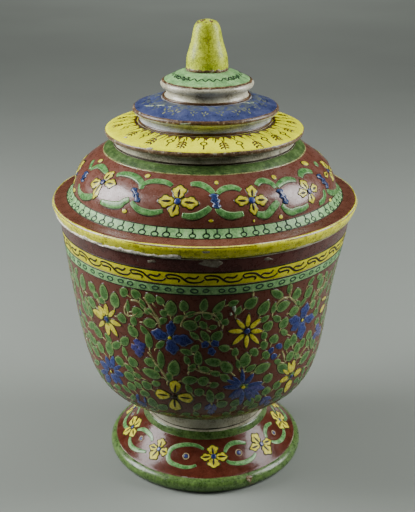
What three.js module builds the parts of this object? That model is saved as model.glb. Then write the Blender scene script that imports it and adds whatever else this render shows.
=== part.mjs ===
import * as THREE from 'three';

// Enamelled porcelain jar with a stepped lid, in millimetres, +Z up.
// The origin is the middle of the foot's underside, which the jar stands on.
// Every piece is round, so each one is a closed outline turned about the Z axis,
// drawn with its own underside at height 0 and then set at its seat.

// Steps of a full turn, and of one smooth stretch of an outline.
const stepsAround = 48;
const stepsPerArc = 5;
const stepsPerStretch = 2;

// Plain white neck between the foot and the bowl, narrowest at its waist.
const neck = {
  height: 6.0,
  waistRadius: 27.4,
  lowerFlare: 0.6,
  upperFlare: 0.4,
  wall: 5.8,
};
const neckLowerRadius = neck.waistRadius + neck.lowerFlare;
const neckUpperRadius = neck.waistRadius + neck.upperFlare;
const neckBoreRadius = neck.waistRadius - neck.wall;

// Flared foot, its rounded base roll and the raised ring where it meets the neck.
const foot = {
  height: 22.5,
  widestRadius: 45.8,
  rollRadius: 3.4,
  standingWidth: 3.2,
  wall: 5.0,
  slopeSag: 1.2,
  ringBulge: 1.7,
  ringHeight: 3.6,
};
// The turn at which the base roll's round side passes into the slope.
const rollEndAngle = THREE.MathUtils.degToRad(76);
// How high the raised ring stays at its full width, as a share of its height.
const ringShoulderShare = 0.75;

// Deep bowl, from its seat on the neck to its flat rim.
const bowl = {
  height: 93.0,
  rimRadius: 64.2,
  wall: 4.2,
};
// The bowl's outer wall: shares of the way from the neck's radius to the rim's,
// and of the bowl's height.
const bowlWallShares = [
  [0.0, 0.0],
  [0.294, 0.063],
  [0.533, 0.135],
  [0.673, 0.235],
  [0.764, 0.385],
  [0.832, 0.57],
  [0.912, 0.78],
  [1.0, 1.0],
];

// The lid's rim hangs a little over the bowl's rim and slants outwards as it rises.
const lidRim = {
  overhang: 0.8,
  slant: 1.9,
  height: 5.5,
  softening: 0.6,
};
// The ledge inside the rim, and the slope on it that carries the beaded band.
const lidLedge = {
  width: 6.1,
  rise: 1.0,
  bandWidth: 2.7,
  bandRise: 3.0,
};
// The domed part of the lid. Its height is measured from the rim's underside.
const dome = {
  height: 29.25,
  wall: 4.4,
};
// The dome's outer wall: shares of the way from the crown's radius out to the dome's,
// and of the height from the beaded band up to the crown.
const domeWallShares = [
  [1.0, 0.0],
  [0.951, 0.215],
  [0.821, 0.455],
  [0.61, 0.64],
  [0.204, 0.885],
  [0.0, 1.0],
];

// The ring under the lid that drops inside the bowl's mouth.
const locatingRing = {
  clearance: 1.8,
  wall: 4.0,
  depth: 6.0,
};

// The three steps of the lid, from the bottom up. Each is a short riser under a shelf
// that slopes up from its edge to the seat of the next piece.
const tierWall = 4.6;
const lowerTier = {
  riserRadius: 38.8,
  riserFlare: 0.4,
  riserHeight: 3.4,
  edgeRadius: 42.8,
  edgeHeight: 3.2,
  shelfRise: 2.65,
  shelfThickness: 3.4,
};
const middleTier = {
  riserRadius: 28.1,
  riserFlare: 0.5,
  riserHeight: 3.4,
  edgeRadius: 31.3,
  edgeHeight: 3.0,
  shelfRise: 3.85,
  shelfThickness: 3.2,
};
const upperTier = {
  riserRadius: 17.3,
  riserFlare: 1.5,
  riserHeight: 3.5,
  edgeRadius: 20.0,
  edgeHeight: 3.3,
  shelfRise: 4.45,
  shelfThickness: 3.2,
};
// How far up the riser its flare ends, as a share of the riser's height.
const flareShare = 0.4;
// The rounded edge of a shelf: shares of the edge's height.
const edgeUnderShare = 0.2;
const edgeBellyShare = 0.55;
const edgeTuckShare = 0.3;
const edgeSofteningShare = 0.12;
// The narrow flat that a piece leaves bare around whatever is seated on it.
const seatMargin = 0.6;

// Solid bell-shaped knob.
const knob = {
  height: 21.0,
  radius: 8.9,
};
// The knob's outline: shares of its radius and of its height.
const knobShares = [
  [1.0, 0.0],
  [0.955, 0.27],
  [0.745, 0.57],
  [0.64, 0.8],
  [0.46, 0.955],
  [0.0, 1.0],
];

// Sizes that follow from the ones above.
const lidRimLowerRadius = bowl.rimRadius + lidRim.overhang;
const lidRimUpperRadius = lidRimLowerRadius + lidRim.slant;
const ledgeInnerRadius = lidRimUpperRadius - lidRim.softening - lidLedge.width;
const ledgeInnerHeight = lidRim.height + lidLedge.rise;
const domeRadius = ledgeInnerRadius - lidLedge.bandWidth;
const domeFootHeight = ledgeInnerHeight + lidLedge.bandRise;
const crownRadius = lowerTier.riserRadius + lowerTier.riserFlare + seatMargin;
const crownBoreRadius = lowerTier.riserRadius - tierWall;
const ringOuterRadius = bowl.rimRadius - bowl.wall - locatingRing.clearance;
const ringInnerRadius = ringOuterRadius - locatingRing.wall;

// Heights of the seats above the standing plane.
const neckSeat = foot.height;
const bowlSeat = neckSeat + neck.height;
const lidSeat = bowlSeat + bowl.height;
const lowerTierSeat = lidSeat + dome.height;
const middleTierSeat = lowerTierSeat + tierHeight(lowerTier);
const upperTierSeat = middleTierSeat + tierHeight(middleTier);
const knobSeat = upperTierSeat + tierHeight(upperTier);

function tierHeight(tier) {
  return tier.riserHeight + tier.edgeHeight + tier.shelfRise;
}

// Outlines and turning

function at(radius, height) {
  return new THREE.Vector2(radius, height);
}

function between(start, end, share) {
  return start + (end - start) * share;
}

// A smooth curve through points given as shares of the way between two radii and two heights.
function smoothWall(shares, [startRadius, endRadius], [startHeight, endHeight]) {
  const points = shares.map(([radiusShare, heightShare]) =>
    at(between(startRadius, endRadius, radiusShare), between(startHeight, endHeight, heightShare)),
  );
  return new THREE.SplineCurve(points).getPoints((points.length - 1) * stepsPerStretch);
}

// The same line moved towards the axis, square to itself, by the thickness of a wall.
function movedInwards(points, thickness) {
  return points.map((point, index) => {
    const before = points[Math.max(index - 1, 0)];
    const after = points[Math.min(index + 1, points.length - 1)];
    const along = after.clone().sub(before).normalize();
    return at(point.x - along.y * thickness, point.y + along.x * thickness);
  });
}

// Turns an outline about Z. It runs up the outside and down the inside, and it either
// starts and ends on the axis or is closed here.
function turned(outline) {
  const onAxis = outline[0].x === 0 && outline[outline.length - 1].x === 0;
  const points = onAxis ? outline : [...outline, outline[0].clone()];
  const geometry = new THREE.LatheGeometry(points, stepsAround);
  geometry.rotateX(Math.PI / 2);
  return geometry;
}

// Pieces of the jar

function footGeometry() {
  const rollCentre = at(foot.widestRadius - foot.rollRadius, foot.rollRadius);
  const roll = new THREE.EllipseCurve(
    rollCentre.x,
    rollCentre.y,
    foot.rollRadius,
    foot.rollRadius,
    -Math.PI / 2,
    rollEndAngle,
  ).getPoints(stepsPerArc);
  const rollTop = roll[roll.length - 1];
  const ringRadius = neckLowerRadius + foot.ringBulge;
  const ringFoot = at(ringRadius, foot.height - foot.ringHeight);
  const sagPoint = rollTop.clone().lerp(ringFoot, 1 / 2).subScalar(foot.slopeSag);
  const slope = new THREE.QuadraticBezierCurve(rollTop, sagPoint, ringFoot).getPoints(stepsPerArc);
  const ring = new THREE.QuadraticBezierCurve(
    ringFoot,
    at(ringRadius, ringFoot.y + foot.ringHeight * ringShoulderShare),
    at(neckLowerRadius, foot.height),
  ).getPoints(stepsPerStretch);
  const standingInside = at(rollCentre.x - foot.standingWidth, 0);
  const inside = movedInwards(slope, foot.wall).filter((point) => point.x < standingInside.x);
  return turned([
    ...roll,
    ...slope.slice(1),
    ...ring.slice(1),
    at(neckBoreRadius, foot.height),
    ...inside.reverse(),
    standingInside,
  ]);
}

function neckGeometry() {
  const side = new THREE.SplineCurve([
    at(neckLowerRadius, 0),
    at(neck.waistRadius, neck.height / 2),
    at(neckUpperRadius, neck.height),
  ]).getPoints(stepsPerArc);
  return turned([...side, at(neckBoreRadius, neck.height), at(neckBoreRadius, 0)]);
}

function bowlGeometry() {
  const wall = smoothWall(bowlWallShares, [neckUpperRadius, bowl.rimRadius], [0, bowl.height]);
  const inside = movedInwards(wall.slice(0, -1), bowl.wall);
  return turned([
    at(0, 0),
    ...wall,
    at(bowl.rimRadius - bowl.wall, bowl.height),
    ...inside.reverse(),
    at(0, bowl.wall),
  ]);
}

// Pieces of the lid

function domeGeometry() {
  const wall = smoothWall(domeWallShares, [crownRadius, domeRadius], [domeFootHeight, dome.height]);
  const inside = movedInwards(wall, dome.wall).filter(
    (point) => point.x > crownBoreRadius && point.x < ringInnerRadius,
  );
  return turned([
    at(lidRimLowerRadius, 0),
    at(lidRimUpperRadius, lidRim.height - lidRim.softening),
    at(lidRimUpperRadius - lidRim.softening, lidRim.height),
    at(ledgeInnerRadius, ledgeInnerHeight),
    ...wall,
    at(crownBoreRadius, dome.height),
    at(crownBoreRadius, dome.height - dome.wall),
    ...inside.reverse(),
    at(ringInnerRadius, ledgeInnerHeight),
    at(ringInnerRadius, 0),
  ]);
}

function locatingRingGeometry() {
  return turned([
    at(ringOuterRadius, 0),
    at(ringOuterRadius, locatingRing.depth),
    at(ringInnerRadius, locatingRing.depth),
    at(ringInnerRadius, 0),
  ]);
}

// The outside of one step of the lid, up to the seat that it leaves for the next piece.
function tierOutside(tier, seatRadius) {
  const { riserRadius, riserHeight, edgeRadius, edgeHeight } = tier;
  return [
    at(riserRadius + tier.riserFlare, 0),
    at(riserRadius, riserHeight * flareShare),
    at(riserRadius, riserHeight),
    at(edgeRadius - edgeHeight * edgeTuckShare, riserHeight + edgeHeight * edgeUnderShare),
    at(edgeRadius, riserHeight + edgeHeight * edgeBellyShare),
    at(edgeRadius - edgeHeight * edgeSofteningShare, riserHeight + edgeHeight),
    at(seatRadius, tierHeight(tier)),
  ];
}

// The hollow inside a step, from its ceiling down to its foot.
function tierBore(tier) {
  const boreRadius = tier.riserRadius - tierWall;
  const ceiling = tier.riserHeight + tier.edgeHeight - tier.shelfThickness;
  return [at(boreRadius, ceiling), at(boreRadius, 0)];
}

// A step that carries another step opens into its hollow.
function openTierGeometry(tier, tierAbove) {
  const seatRadius = tierAbove.riserRadius + tierAbove.riserFlare + seatMargin;
  const boreAbove = tierAbove.riserRadius - tierWall;
  const height = tierHeight(tier);
  return turned([
    ...tierOutside(tier, seatRadius),
    at(boreAbove, height),
    at(boreAbove, height - tier.shelfThickness),
    ...tierBore(tier),
  ]);
}

// The top step is closed by its own shelf, which carries the solid knob.
function closedTierGeometry(tier, seatRadius) {
  const bore = tierBore(tier);
  return turned([at(0, bore[0].y), ...bore, ...tierOutside(tier, seatRadius), at(0, tierHeight(tier))]);
}

function knobGeometry() {
  return turned([at(0, 0), ...smoothWall(knobShares, [0, knob.radius], [0, knob.height])]);
}

// Colours of the enamels and of the bare glaze

function fired(color) {
  return new THREE.MeshStandardMaterial({ color, roughness: 0.25, metalness: 0.0 });
}

const ironRed = fired('#7a3a2e');
const leafGreen = fired('#5f9a52');
const whiteGlaze = fired('#c9c8bd');
const lemonYellow = fired('#d6cf52');
const cobaltBlue = fired('#3c4a93');
const paleGreen = fired('#8cc49b');
const oliveYellow = fired('#b9b43c');

// Assembly

function piece(name, geometry, material, height) {
  const mesh = new THREE.Mesh(geometry, material);
  mesh.name = name;
  mesh.position.z = height;
  return mesh;
}

const jar = new THREE.Group();
jar.add(
  piece('jar_foot', footGeometry(), leafGreen, 0),
  piece('jar_neck', neckGeometry(), whiteGlaze, neckSeat),
  piece('jar_bowl', bowlGeometry(), ironRed, bowlSeat),
);

const lid = new THREE.Group();
lid.add(
  piece('lid_locating_ring', locatingRingGeometry(), whiteGlaze, lidSeat - locatingRing.depth),
  piece('lid_dome', domeGeometry(), ironRed, lidSeat),
  piece('lid_lower_tier', openTierGeometry(lowerTier, middleTier), lemonYellow, lowerTierSeat),
  piece('lid_middle_tier', openTierGeometry(middleTier, upperTier), cobaltBlue, middleTierSeat),
  piece('lid_upper_tier', closedTierGeometry(upperTier, knob.radius + seatMargin), paleGreen, upperTierSeat),
  piece('lid_knob', knobGeometry(), oliveYellow, knobSeat),
);

const liddedJar = new THREE.Group();
liddedJar.add(jar, lid);

export default liddedJar;
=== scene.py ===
"""Benjarong lidded jar: porcelain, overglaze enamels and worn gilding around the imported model.

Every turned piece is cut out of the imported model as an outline, softened, turned again finely, and then
enamelled: colour bands, leaves, flowers, scrolls and beads are thin closed reliefs laid on its outer face.
Lengths are metres, a face is measured by its angle from the front and its run up the outline.
"""

import logging
import math
import random
from collections.abc import Callable, Sequence
from dataclasses import dataclass, field, replace
from enum import Enum
from functools import cache, partial
from typing import ClassVar

import bmesh
import bpy
import numpy as np
from bpy.types import Material, Mesh, Node, NodeSocket, NodeTree, Object
from mathutils import Matrix, Vector


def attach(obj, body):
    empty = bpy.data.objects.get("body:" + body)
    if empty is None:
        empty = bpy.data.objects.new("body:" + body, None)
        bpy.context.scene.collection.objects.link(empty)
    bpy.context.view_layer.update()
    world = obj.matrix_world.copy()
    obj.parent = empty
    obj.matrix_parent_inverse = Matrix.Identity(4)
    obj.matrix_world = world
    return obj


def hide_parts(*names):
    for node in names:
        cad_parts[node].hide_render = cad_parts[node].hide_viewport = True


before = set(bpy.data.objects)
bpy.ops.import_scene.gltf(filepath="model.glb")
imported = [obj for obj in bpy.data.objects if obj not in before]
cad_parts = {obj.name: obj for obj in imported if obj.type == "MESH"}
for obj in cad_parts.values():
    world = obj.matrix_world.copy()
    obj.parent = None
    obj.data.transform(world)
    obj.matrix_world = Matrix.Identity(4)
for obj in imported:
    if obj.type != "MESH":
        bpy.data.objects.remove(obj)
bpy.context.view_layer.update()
LOG = logging.getLogger("benjarong_jar")

MM = 0.001
FULL_TURN = 2 * math.pi
LATHE_STEPS = 192
WELD = 1e-6
SINK = 0.12 * MM

# Points of a line, rows of numbers, and the sockets on one side of a node.
Path = Sequence[tuple[float, float]]
Rows = Sequence[tuple[float, ...]]
Sockets = bpy.types.bpy_prop_collection


class Body(Enum):
    """The two moving bodies of the jar."""

    JAR = "jar"
    LID = "lid"


class Slot(Enum):
    """The record's material slots."""

    IRON_RED = "iron_red_enamel"
    GREEN = "green_enamel"
    WHITE = "white_glaze"
    LEMON = "lemon_yellow_enamel"
    COBALT = "cobalt_blue_enamel"
    PALE_GREEN = "pale_green_enamel"
    OLIVE = "olive_yellow_enamel"


def linear(colour: str) -> tuple[float, float, float, float]:
    """Turn an sRGB hex colour into linear light.

    Args:
        colour: Six hex digits.

    Returns:
        Red, green, blue and a full alpha.
    """
    channels = [int(colour[i:i + 2], 16) / 255 for i in (0, 2, 4)]
    toe, slope = 0.04045, 12.92
    lit = [c / slope if c <= toe else ((c + 0.055) / 1.055) ** 2.4 for c in channels]
    return (*lit, 1.0)


def add_node(tree: NodeTree, kind: str, inputs: dict | None = None, **settings) -> Node:
    """Add a node with its settings, values and links.

    Args:
        tree: The node tree that takes the node.
        kind: The node's type name.
        inputs: Socket key to a value, or to the output socket that feeds it.
        settings: Properties of the node itself.

    Returns:
        The new node.
    """
    node = tree.nodes.new(kind)
    for name, value in settings.items():
        setattr(node, name, value)
    for key, value in (inputs or {}).items():
        if isinstance(value, NodeSocket):
            tree.links.new(value, node.inputs[key])
        else:
            node.inputs[key].default_value = value
    return node


@dataclass(frozen=True)
class Enamel:
    """A fired coat: its colours, how it mottles, crazes, pits and wears, and how glossy it is.

    edge, rim and heart colour the outline, the border and the middle of each stroke, where the relief stores
    how far in its points lie.
    """

    name: str
    body: str
    thin: str
    pooled: str
    edge: str | None = None
    edge_share: float = 0.16
    rim: str | None = None
    rim_share: float = 0.3
    heart: str | None = None
    mottle_size: float = 4 * MM
    grain_size: float = 0.7 * MM
    pit_size: float = 0.55 * MM
    pitting: float = 0.4
    craze_size: float = 1.6 * MM
    crazing: float = 0.0
    wear: float = 0.0
    worn_to: str = "8f8a78"
    wear_size: float = 5 * MM
    roughness: float = 0.27
    coat: float = 0.3
    gloss: float = 0.5
    relief: float = 0.3
    tint: float = 0.0

    IOR: ClassVar[float] = 1.5
    COAT_ROUGHNESS: ClassVar[float] = 0.1
    BUMP: ClassVar[float] = 0.14 * MM
    GRAIN_SHARE: ClassVar[float] = 0.4
    MOTTLE_STOPS: ClassVar[tuple[float, ...]] = (0.37, 0.5, 0.63)
    CRAZE_DIRT: ClassVar[str] = "3c3a1c"
    PIT_DIRT: ClassVar[str] = "241c10"

    @cache
    def material(self) -> Material:
        """Build the finish once.

        Returns:
            The material.
        """
        made = bpy.data.materials.new(self.name)
        made.use_nodes = True
        tree = made.node_tree
        node = partial(add_node, tree)
        shader = tree.nodes["Principled BSDF"]
        place = node("ShaderNodeTexCoord").outputs["Object"]
        cloud, grain, pits, patch = (
            node("ShaderNodeTexNoise", {"Vector": place, "Scale": 1 / size, "Detail": detail}).outputs["Fac"]
            for size, detail in ((self.mottle_size, 4.0), (self.grain_size, 2.0), (self.pit_size, 2.0),
                                 (self.wear_size, 6.0)))
        craze = node("ShaderNodeTexVoronoi", {"Vector": place, "Scale": 1 / self.craze_size},
                     feature="DISTANCE_TO_EDGE").outputs["Distance"]
        inset, tint = (node("ShaderNodeAttribute", attribute_name=name).outputs["Fac"]
                       for name in ("inset", "tint"))
        mottle = node("ShaderNodeMix", {0: self.GRAIN_SHARE, 2: cloud, 3: grain}).outputs[0]
        shade = node("ShaderNodeValToRGB", {"Fac": mottle})
        self.fill_ramp(shade.color_ramp, list(zip(self.MOTTLE_STOPS, (self.pooled, self.body, self.thin))))
        colour, share = shade.outputs["Color"], None
        worn_from = 0.72 - self.wear * 0.35
        # Each layer: what drives it, two of its values, the layer's strength at both, and its colour.
        layers = ((tint, 0.0, 1.0, 0.0, self.tint, self.pooled),
                  (inset, 0.45, 0.95, 0.0, 1.0, self.heart),
                  (inset, self.rim_share / 2, self.rim_share, 1.0, 0.0, self.rim),
                  (inset, self.edge_share / 3, self.edge_share, 1.0, 0.0, self.edge),
                  (craze, 0.0, 0.09, self.crazing, 0.0, self.CRAZE_DIRT),
                  (pits, 0.62, 0.72, 0.0, self.pitting, self.PIT_DIRT),
                  (patch, worn_from, worn_from + 0.04, 0.0, 1.0 if self.wear else 0.0, self.worn_to))
        for value, low, high, start, end, tone in layers:
            if tone and start + end:
                share = node("ShaderNodeMapRange", {"Value": value, "From Min": low, "From Max": high,
                                                    "To Min": start, "To Max": end},
                             interpolation_type="SMOOTHSTEP").outputs["Result"]
                colour = node("ShaderNodeMix", {0: share, 6: colour, 7: linear(tone)},
                              data_type="RGBA").outputs[2]
        rough = node("ShaderNodeMapRange", {"Value": mottle, "From Min": 0.35, "From Max": 0.65,
                                            "To Min": self.roughness - 0.07,
                                            "To Max": self.roughness + 0.1}).outputs["Result"]
        if self.wear:
            rough = node("ShaderNodeMath", {0: share, 1: 0.25, 2: rough}, operation="MULTIPLY_ADD").outputs[0]
        pitted = node("ShaderNodeMapRange", {"Value": pits, "From Min": 0.6, "From Max": 0.74,
                                             "To Min": 1.0, "To Max": 0.0}).outputs["Result"]
        height = node("ShaderNodeMath", {0: grain, 1: 0.6, 2: pitted}, operation="MULTIPLY_ADD").outputs[0]
        bump = node("ShaderNodeBump", {"Height": height, "Strength": self.relief, "Distance": self.BUMP})
        for value, socket in ((colour, "Base Color"), (rough, "Roughness"),
                              (bump.outputs["Normal"], "Normal")):
            tree.links.new(value, shader.inputs[socket])
        for socket, value in (("IOR", self.IOR), ("Specular IOR Level", self.gloss),
                              ("Coat Weight", self.coat), ("Coat Roughness", self.COAT_ROUGHNESS)):
            shader.inputs[socket].default_value = value
        return made

    @staticmethod
    def fill_ramp(ramp: bpy.types.ColorRamp, stops: Sequence[tuple[float, str]]) -> None:
        """Give a colour ramp its stops.

        Args:
            ramp: The ramp.
            stops: Places along it, each with its hex colour.
        """
        while len(ramp.elements) < len(stops):
            ramp.elements.new(1.0)
        for element, (at, colour) in zip(ramp.elements, stops):
            element.position = at
            element.color = linear(colour)


# White porcelain body under a clear lime glaze, dipped: grey-white, glassy, with iron specks and stains.
PORCELAIN = Enamel("white_lime_glaze", "bfbba0", "d3d1bb", "918c75", pitting=0.5, mottle_size=7 * MM,
                   roughness=0.3, coat=0.15, wear=0.12, worn_to="7d775f")
# Iron-red ground enamel, brushed thin over the glaze: brick red, brushy, deeper where it pools.
IRON_RED = Enamel("iron_red_ground", "63382a", "6b4031", "563024", mottle_size=3.5 * MM, pitting=0.15,
                  roughness=0.3, coat=0.05, gloss=0.3)
DOME_RED = replace(IRON_RED, name="iron_red_dome", body="6b4033", thin="71483b", pooled="623a2d",
                   pitting=0.05, roughness=0.27, coat=0.22, gloss=0.5)
# A slightly darker copy for the ledge: painted shade where the front fill lights it too much.
SHADED_LEDGE_RED = replace(DOME_RED, name="iron_red_ledge_painted_shade", body="683f30", thin="6f4738", pooled="5e382b", coat=0.3)
# A darker copy for the foot's slope: painted shade where the bowl overhangs it.
SHADED_FOOT_RED = replace(IRON_RED, name="iron_red_foot_painted_shade", body="50261a", thin="5a2e21", pooled="432015",
                   roughness=0.15, coat=0.09, gloss=0.2)
# The same red, darker, under the lid's rim: nearly black-brown.
DARK_RED = Enamel("iron_red_darker", "542c26", "5d352e", "46241f", wear=0.1, worn_to="6b6a60", coat=0.15)
# Copper-green enamel, a thick glass flux over black outlines: grass green, streaked.
# The leaves' pale border is partly a painted highlight where light catches the raised edge.
LEAF_GREEN = Enamel("copper_green_leaf", "527d3d", "719b58", "38612d", edge="232b15", edge_share=0.2,
                    rim="7f9a58", rim_share=0.36, heart="3b642b", mottle_size=2 * MM, tint=0.5, relief=0.2,
                    coat=0.06, gloss=0.35)
GREEN_BAND = Enamel("copper_green_band", "587839", "7a9a57", "355428", mottle_size=2.6 * MM, pitting=0.8,
                    wear=0.1, worn_to="98a678", relief=0.5, roughness=0.38, coat=0.15)
# A darker copy for the dome's crown: painted shade under the overhang of the lowest tier.
SHADED_CROWN_GREEN = replace(GREEN_BAND, name="copper_green_crown_painted_shade", body="445d2c", thin="5e7a42", pooled="2a431f",
                      coat=0.08, gloss=0.35, wear=0.0)
# A darker copy for the foot: painted shade under the bowl; its coarser grain and pits are its own.
SHADED_FOOT_GREEN = replace(GREEN_BAND, name="copper_green_foot_painted_shade", body="4b662f", thin="62813f", pooled="374f25",
                     grain_size=0.9 * MM, pit_size=1.0 * MM, pitting=0.6, coat=0.2, gloss=0.35, roughness=0.3,
                     relief=1.0, wear=0.0)
# Pale turquoise-green enamel, opaque and milky.
TURQUOISE = Enamel("milky_turquoise", "82b471", "9eca89", "668f5c", mottle_size=3 * MM, coat=0.0, gloss=0.3,
                   roughness=0.4)
# Antimony yellow enamel: lemon where thick, olive where it thins over grey.
LEMON = Enamel("antimony_yellow", "dcd338", "e9e25c", "aea42a", edge="2c2a12", edge_share=0.34,
               mottle_size=2 * MM, tint=0.15, coat=0.1, gloss=0.35)
LEMON_SHELF = Enamel("antimony_yellow_shelf", "eef000", "f4f620", "dcdc08", mottle_size=5 * MM, coat=0.0,
                     gloss=0.08, roughness=0.4)
LEMON_BAND = replace(LEMON_SHELF, name="antimony_yellow_band", body="d8d424", thin="e4e03c", pooled="bebc16",
                     gloss=0.3)
LEMON_FOOT = replace(LEMON, name="antimony_yellow_foot", gloss=0.1, coat=0.0)
OLIVE_RIM = Enamel("antimony_yellow_pitted", "e8e82a", "f4f04c", "b0ae20", mottle_size=2.4 * MM, pitting=0.6,
                   pit_size=0.8 * MM, wear=0.1, worn_to="a9a45c", wear_size=9 * MM, relief=0.5, coat=0.15,
                   gloss=0.35)
OLIVE_KNOB = Enamel("antimony_yellow_knob", "c3d02c", "d6e04a", "8f9c1e", mottle_size=3.5 * MM, pitting=0.6,
                    crazing=0.45, roughness=0.38, coat=0.02, gloss=0.27)
# Cobalt-blue enamel, glassy and deep.
COBALT = Enamel("cobalt_blue_petal", "263374", "3c4e96", "182155", edge="15172b", rim="535d8c", rim_share=0.3,
                mottle_size=1.6 * MM, tint=0.4, coat=0.15, gloss=0.4)
COBALT_KNOT = replace(COBALT, name="cobalt_blue_knot", body="2b3b6a", thin="435680", pooled="1c2a54",
                      rim="445c88")
COBALT_SHELF = Enamel("cobalt_blue_shelf", "3d466f", "525a7e", "2e3558", mottle_size=5 * MM, wear=0.08,
                      worn_to="4a5a70", coat=0.1, gloss=0.35, roughness=0.32, pitting=0.25)
# Manganese-black and brown brush lines under the colours.
BLACK_LINE = Enamel("manganese_line", "2b2213", "3a301c", "1b150c", roughness=0.4, coat=0.0, gloss=0.25)
BROWN_LINE = Enamel("iron_brown_line", "4f3518", "6c4d26", "352410", roughness=0.35, coat=0.1, tint=0.3)
GREEN_LINE = Enamel("dark_green_line", "1d3420", "2a4a2c", "122414", roughness=0.4, coat=0.0, gloss=0.2,
                    tint=0.3)
# Worn gilding on the edges: thin gold rubbed to its orange-brown size and the white glaze below.
WORN_GILT = Enamel("worn_gilt_edge", "5c432b", "83694a", "3a2c1c", mottle_size=1.6 * MM, pitting=0.6,
                   wear=0.3, worn_to="9c8f72", wear_size=1.6 * MM, roughness=0.4, coat=0.05)
GREY_GILT = Enamel("worn_gilt_grey", "6b5237", "8d7555", "453420", mottle_size=1.6 * MM, pitting=0.8,
                   wear=0.35, worn_to="a39a84", wear_size=1.5 * MM, roughness=0.36, coat=0.15)
# Thick copper-green arcs, milky at their crowns; their pale borders are partly a painted highlight.
SCROLL_GREEN = Enamel("copper_green_scroll", "578c4a", "7cae6c", "3d6a39", edge="27361c", edge_share=0.18,
                      rim="93ad7c", rim_share=0.34, mottle_size=2.4 * MM, relief=0.3, coat=0.08, gloss=0.35)
# Gold leaf rubbed thin over the blue: green-gold dust.
FADED_GOLD = Enamel("rubbed_gold_leaf", "7d8360", "9a9c70", "58644f", roughness=0.4, coat=0.1, tint=0.5)
GOLD_DUST = replace(FADED_GOLD, name="gold_dust_on_cobalt", body="505967", thin="687068", pooled="404b66",
                    wear=0.55, worn_to="384476", wear_size=2.4 * MM)
VIOLET = Enamel("manganese_violet_petal", "353480", "565598", "22225a", edge="1b1830", rim="6a6694",
                rim_share=0.2, mottle_size=2 * MM, tint=0.4)
# Stems: pale copper green brushed thin over a cream size line.
STEM_GREEN = Enamel("pale_green_stem", "94925c", "b3ae7a", "6a6c3c", mottle_size=2 * MM, coat=0.2, tint=0.4)
CREAM_LINE = Enamel("cream_size_line", "a89c72", "c2b88e", "7d7250", roughness=0.3, coat=0.2, tint=0.4)
# Bared porcelain where glaze has chipped off, and a milky smear of stray enamel: pale, dull, dirty.
CHIPPED = Enamel("chipped_porcelain", "aeab9c", "cbc8bb", "6e6b5c", mottle_size=1.5 * MM, roughness=0.5,
                 coat=0.0, relief=0.6)
SMEAR = Enamel("pale_enamel_smear", "9fae92", "bfcdb0", "6f8577", mottle_size=1.2 * MM, coat=0.2)
RUBBED = replace(CHIPPED, name="rubbed_grey_patch", body="807967", thin="9b9584", pooled="5f594a")
BARED = replace(CHIPPED, name="bared_porcelain_edge", body="dcd9c8", thin="eae7da", pooled="938f7c")
# The same glaze beside the cobalt, which bled into it, inside the bowl, clean and even, and under the bowl,
# darker: painted shade where the bowl overhangs the neck.
BLUED_GLAZE = replace(PORCELAIN, name="white_lime_glaze_blued", body="a2a6aa", thin="c0c4c6", pooled="767a7c")
INNER_GLAZE = replace(PORCELAIN, name="white_lime_glaze_inside", pooled="aeaa93", wear=0.0,
                      mottle_size=14 * MM)
SHADED_GLAZE = replace(PORCELAIN, name="white_lime_glaze_painted_shade", body="a6a38a", thin="b8b59e", pooled="7e7a64")
# Thin green line, half sunk in the milky band.
SUNK_LINE = replace(GREEN_LINE, name="sunk_green_line", body="34513c", thin="46664e", pooled="26402c")


@dataclass(frozen=True)
class HandThrown:
    """How the fired pot strays from a true turning: it leans, and it isn't quite round."""

    heights_mm: tuple[float, ...] = (0, 20, 45, 85, 122, 155, 164, 176, 190, 204)
    lean_mm: tuple[float, ...] = (0.7, 0.6, -0.3, -0.7, 0.3, 0.1, 0.7, 1.3, 1.25, 1.15)
    oval: float = 0.16 * MM
    oval_start: float = 0.7
    oval_twist: float = 9.0
    swirl: float = 0.1 * MM
    swirl_twist: float = 60.0
    full_radius: float = 60 * MM

    def lean(self, height: np.ndarray | float) -> np.ndarray:
        """Find how far the pot leans.

        Args:
            height: Height above the floor.

        Returns:
            The sideways shift there.
        """
        keys = np.array(self.heights_mm) * MM
        shifts = np.array(self.lean_mm) * MM
        h = np.clip(height, keys[0], keys[-1])
        i = np.clip(np.searchsorted(keys, h) - 1, 0, len(keys) - 2)
        t = (h - keys[i]) / (keys[i + 1] - keys[i])
        ease = t * t * (3 - 2 * t)
        return shifts[i] + (shifts[i + 1] - shifts[i]) * ease

    def settle(self, mesh: Mesh) -> None:
        """Move a true-turned mesh to where the fired one stands.

        Args:
            mesh: The mesh.
        """
        at = np.zeros(len(mesh.vertices) * 3)
        mesh.vertices.foreach_get("co", at)
        at = at.reshape(-1, 3)
        angle = np.arctan2(at[:, 0], -at[:, 1])
        radius = np.hypot(at[:, 0], at[:, 1])
        share = np.clip(radius / self.full_radius, 0, 1)
        grow = self.oval * np.cos(2 * angle + self.oval_start + at[:, 2] * self.oval_twist)
        grow += self.swirl * np.cos(3 * angle + at[:, 2] * self.swirl_twist)
        radius = radius + grow * share
        at[:, 0] = radius * np.sin(angle) + self.lean(at[:, 2])
        at[:, 1] = -radius * np.cos(angle)
        mesh.vertices.foreach_set("co", at.ravel())
        mesh.update()


THROWN = HandThrown()


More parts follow.
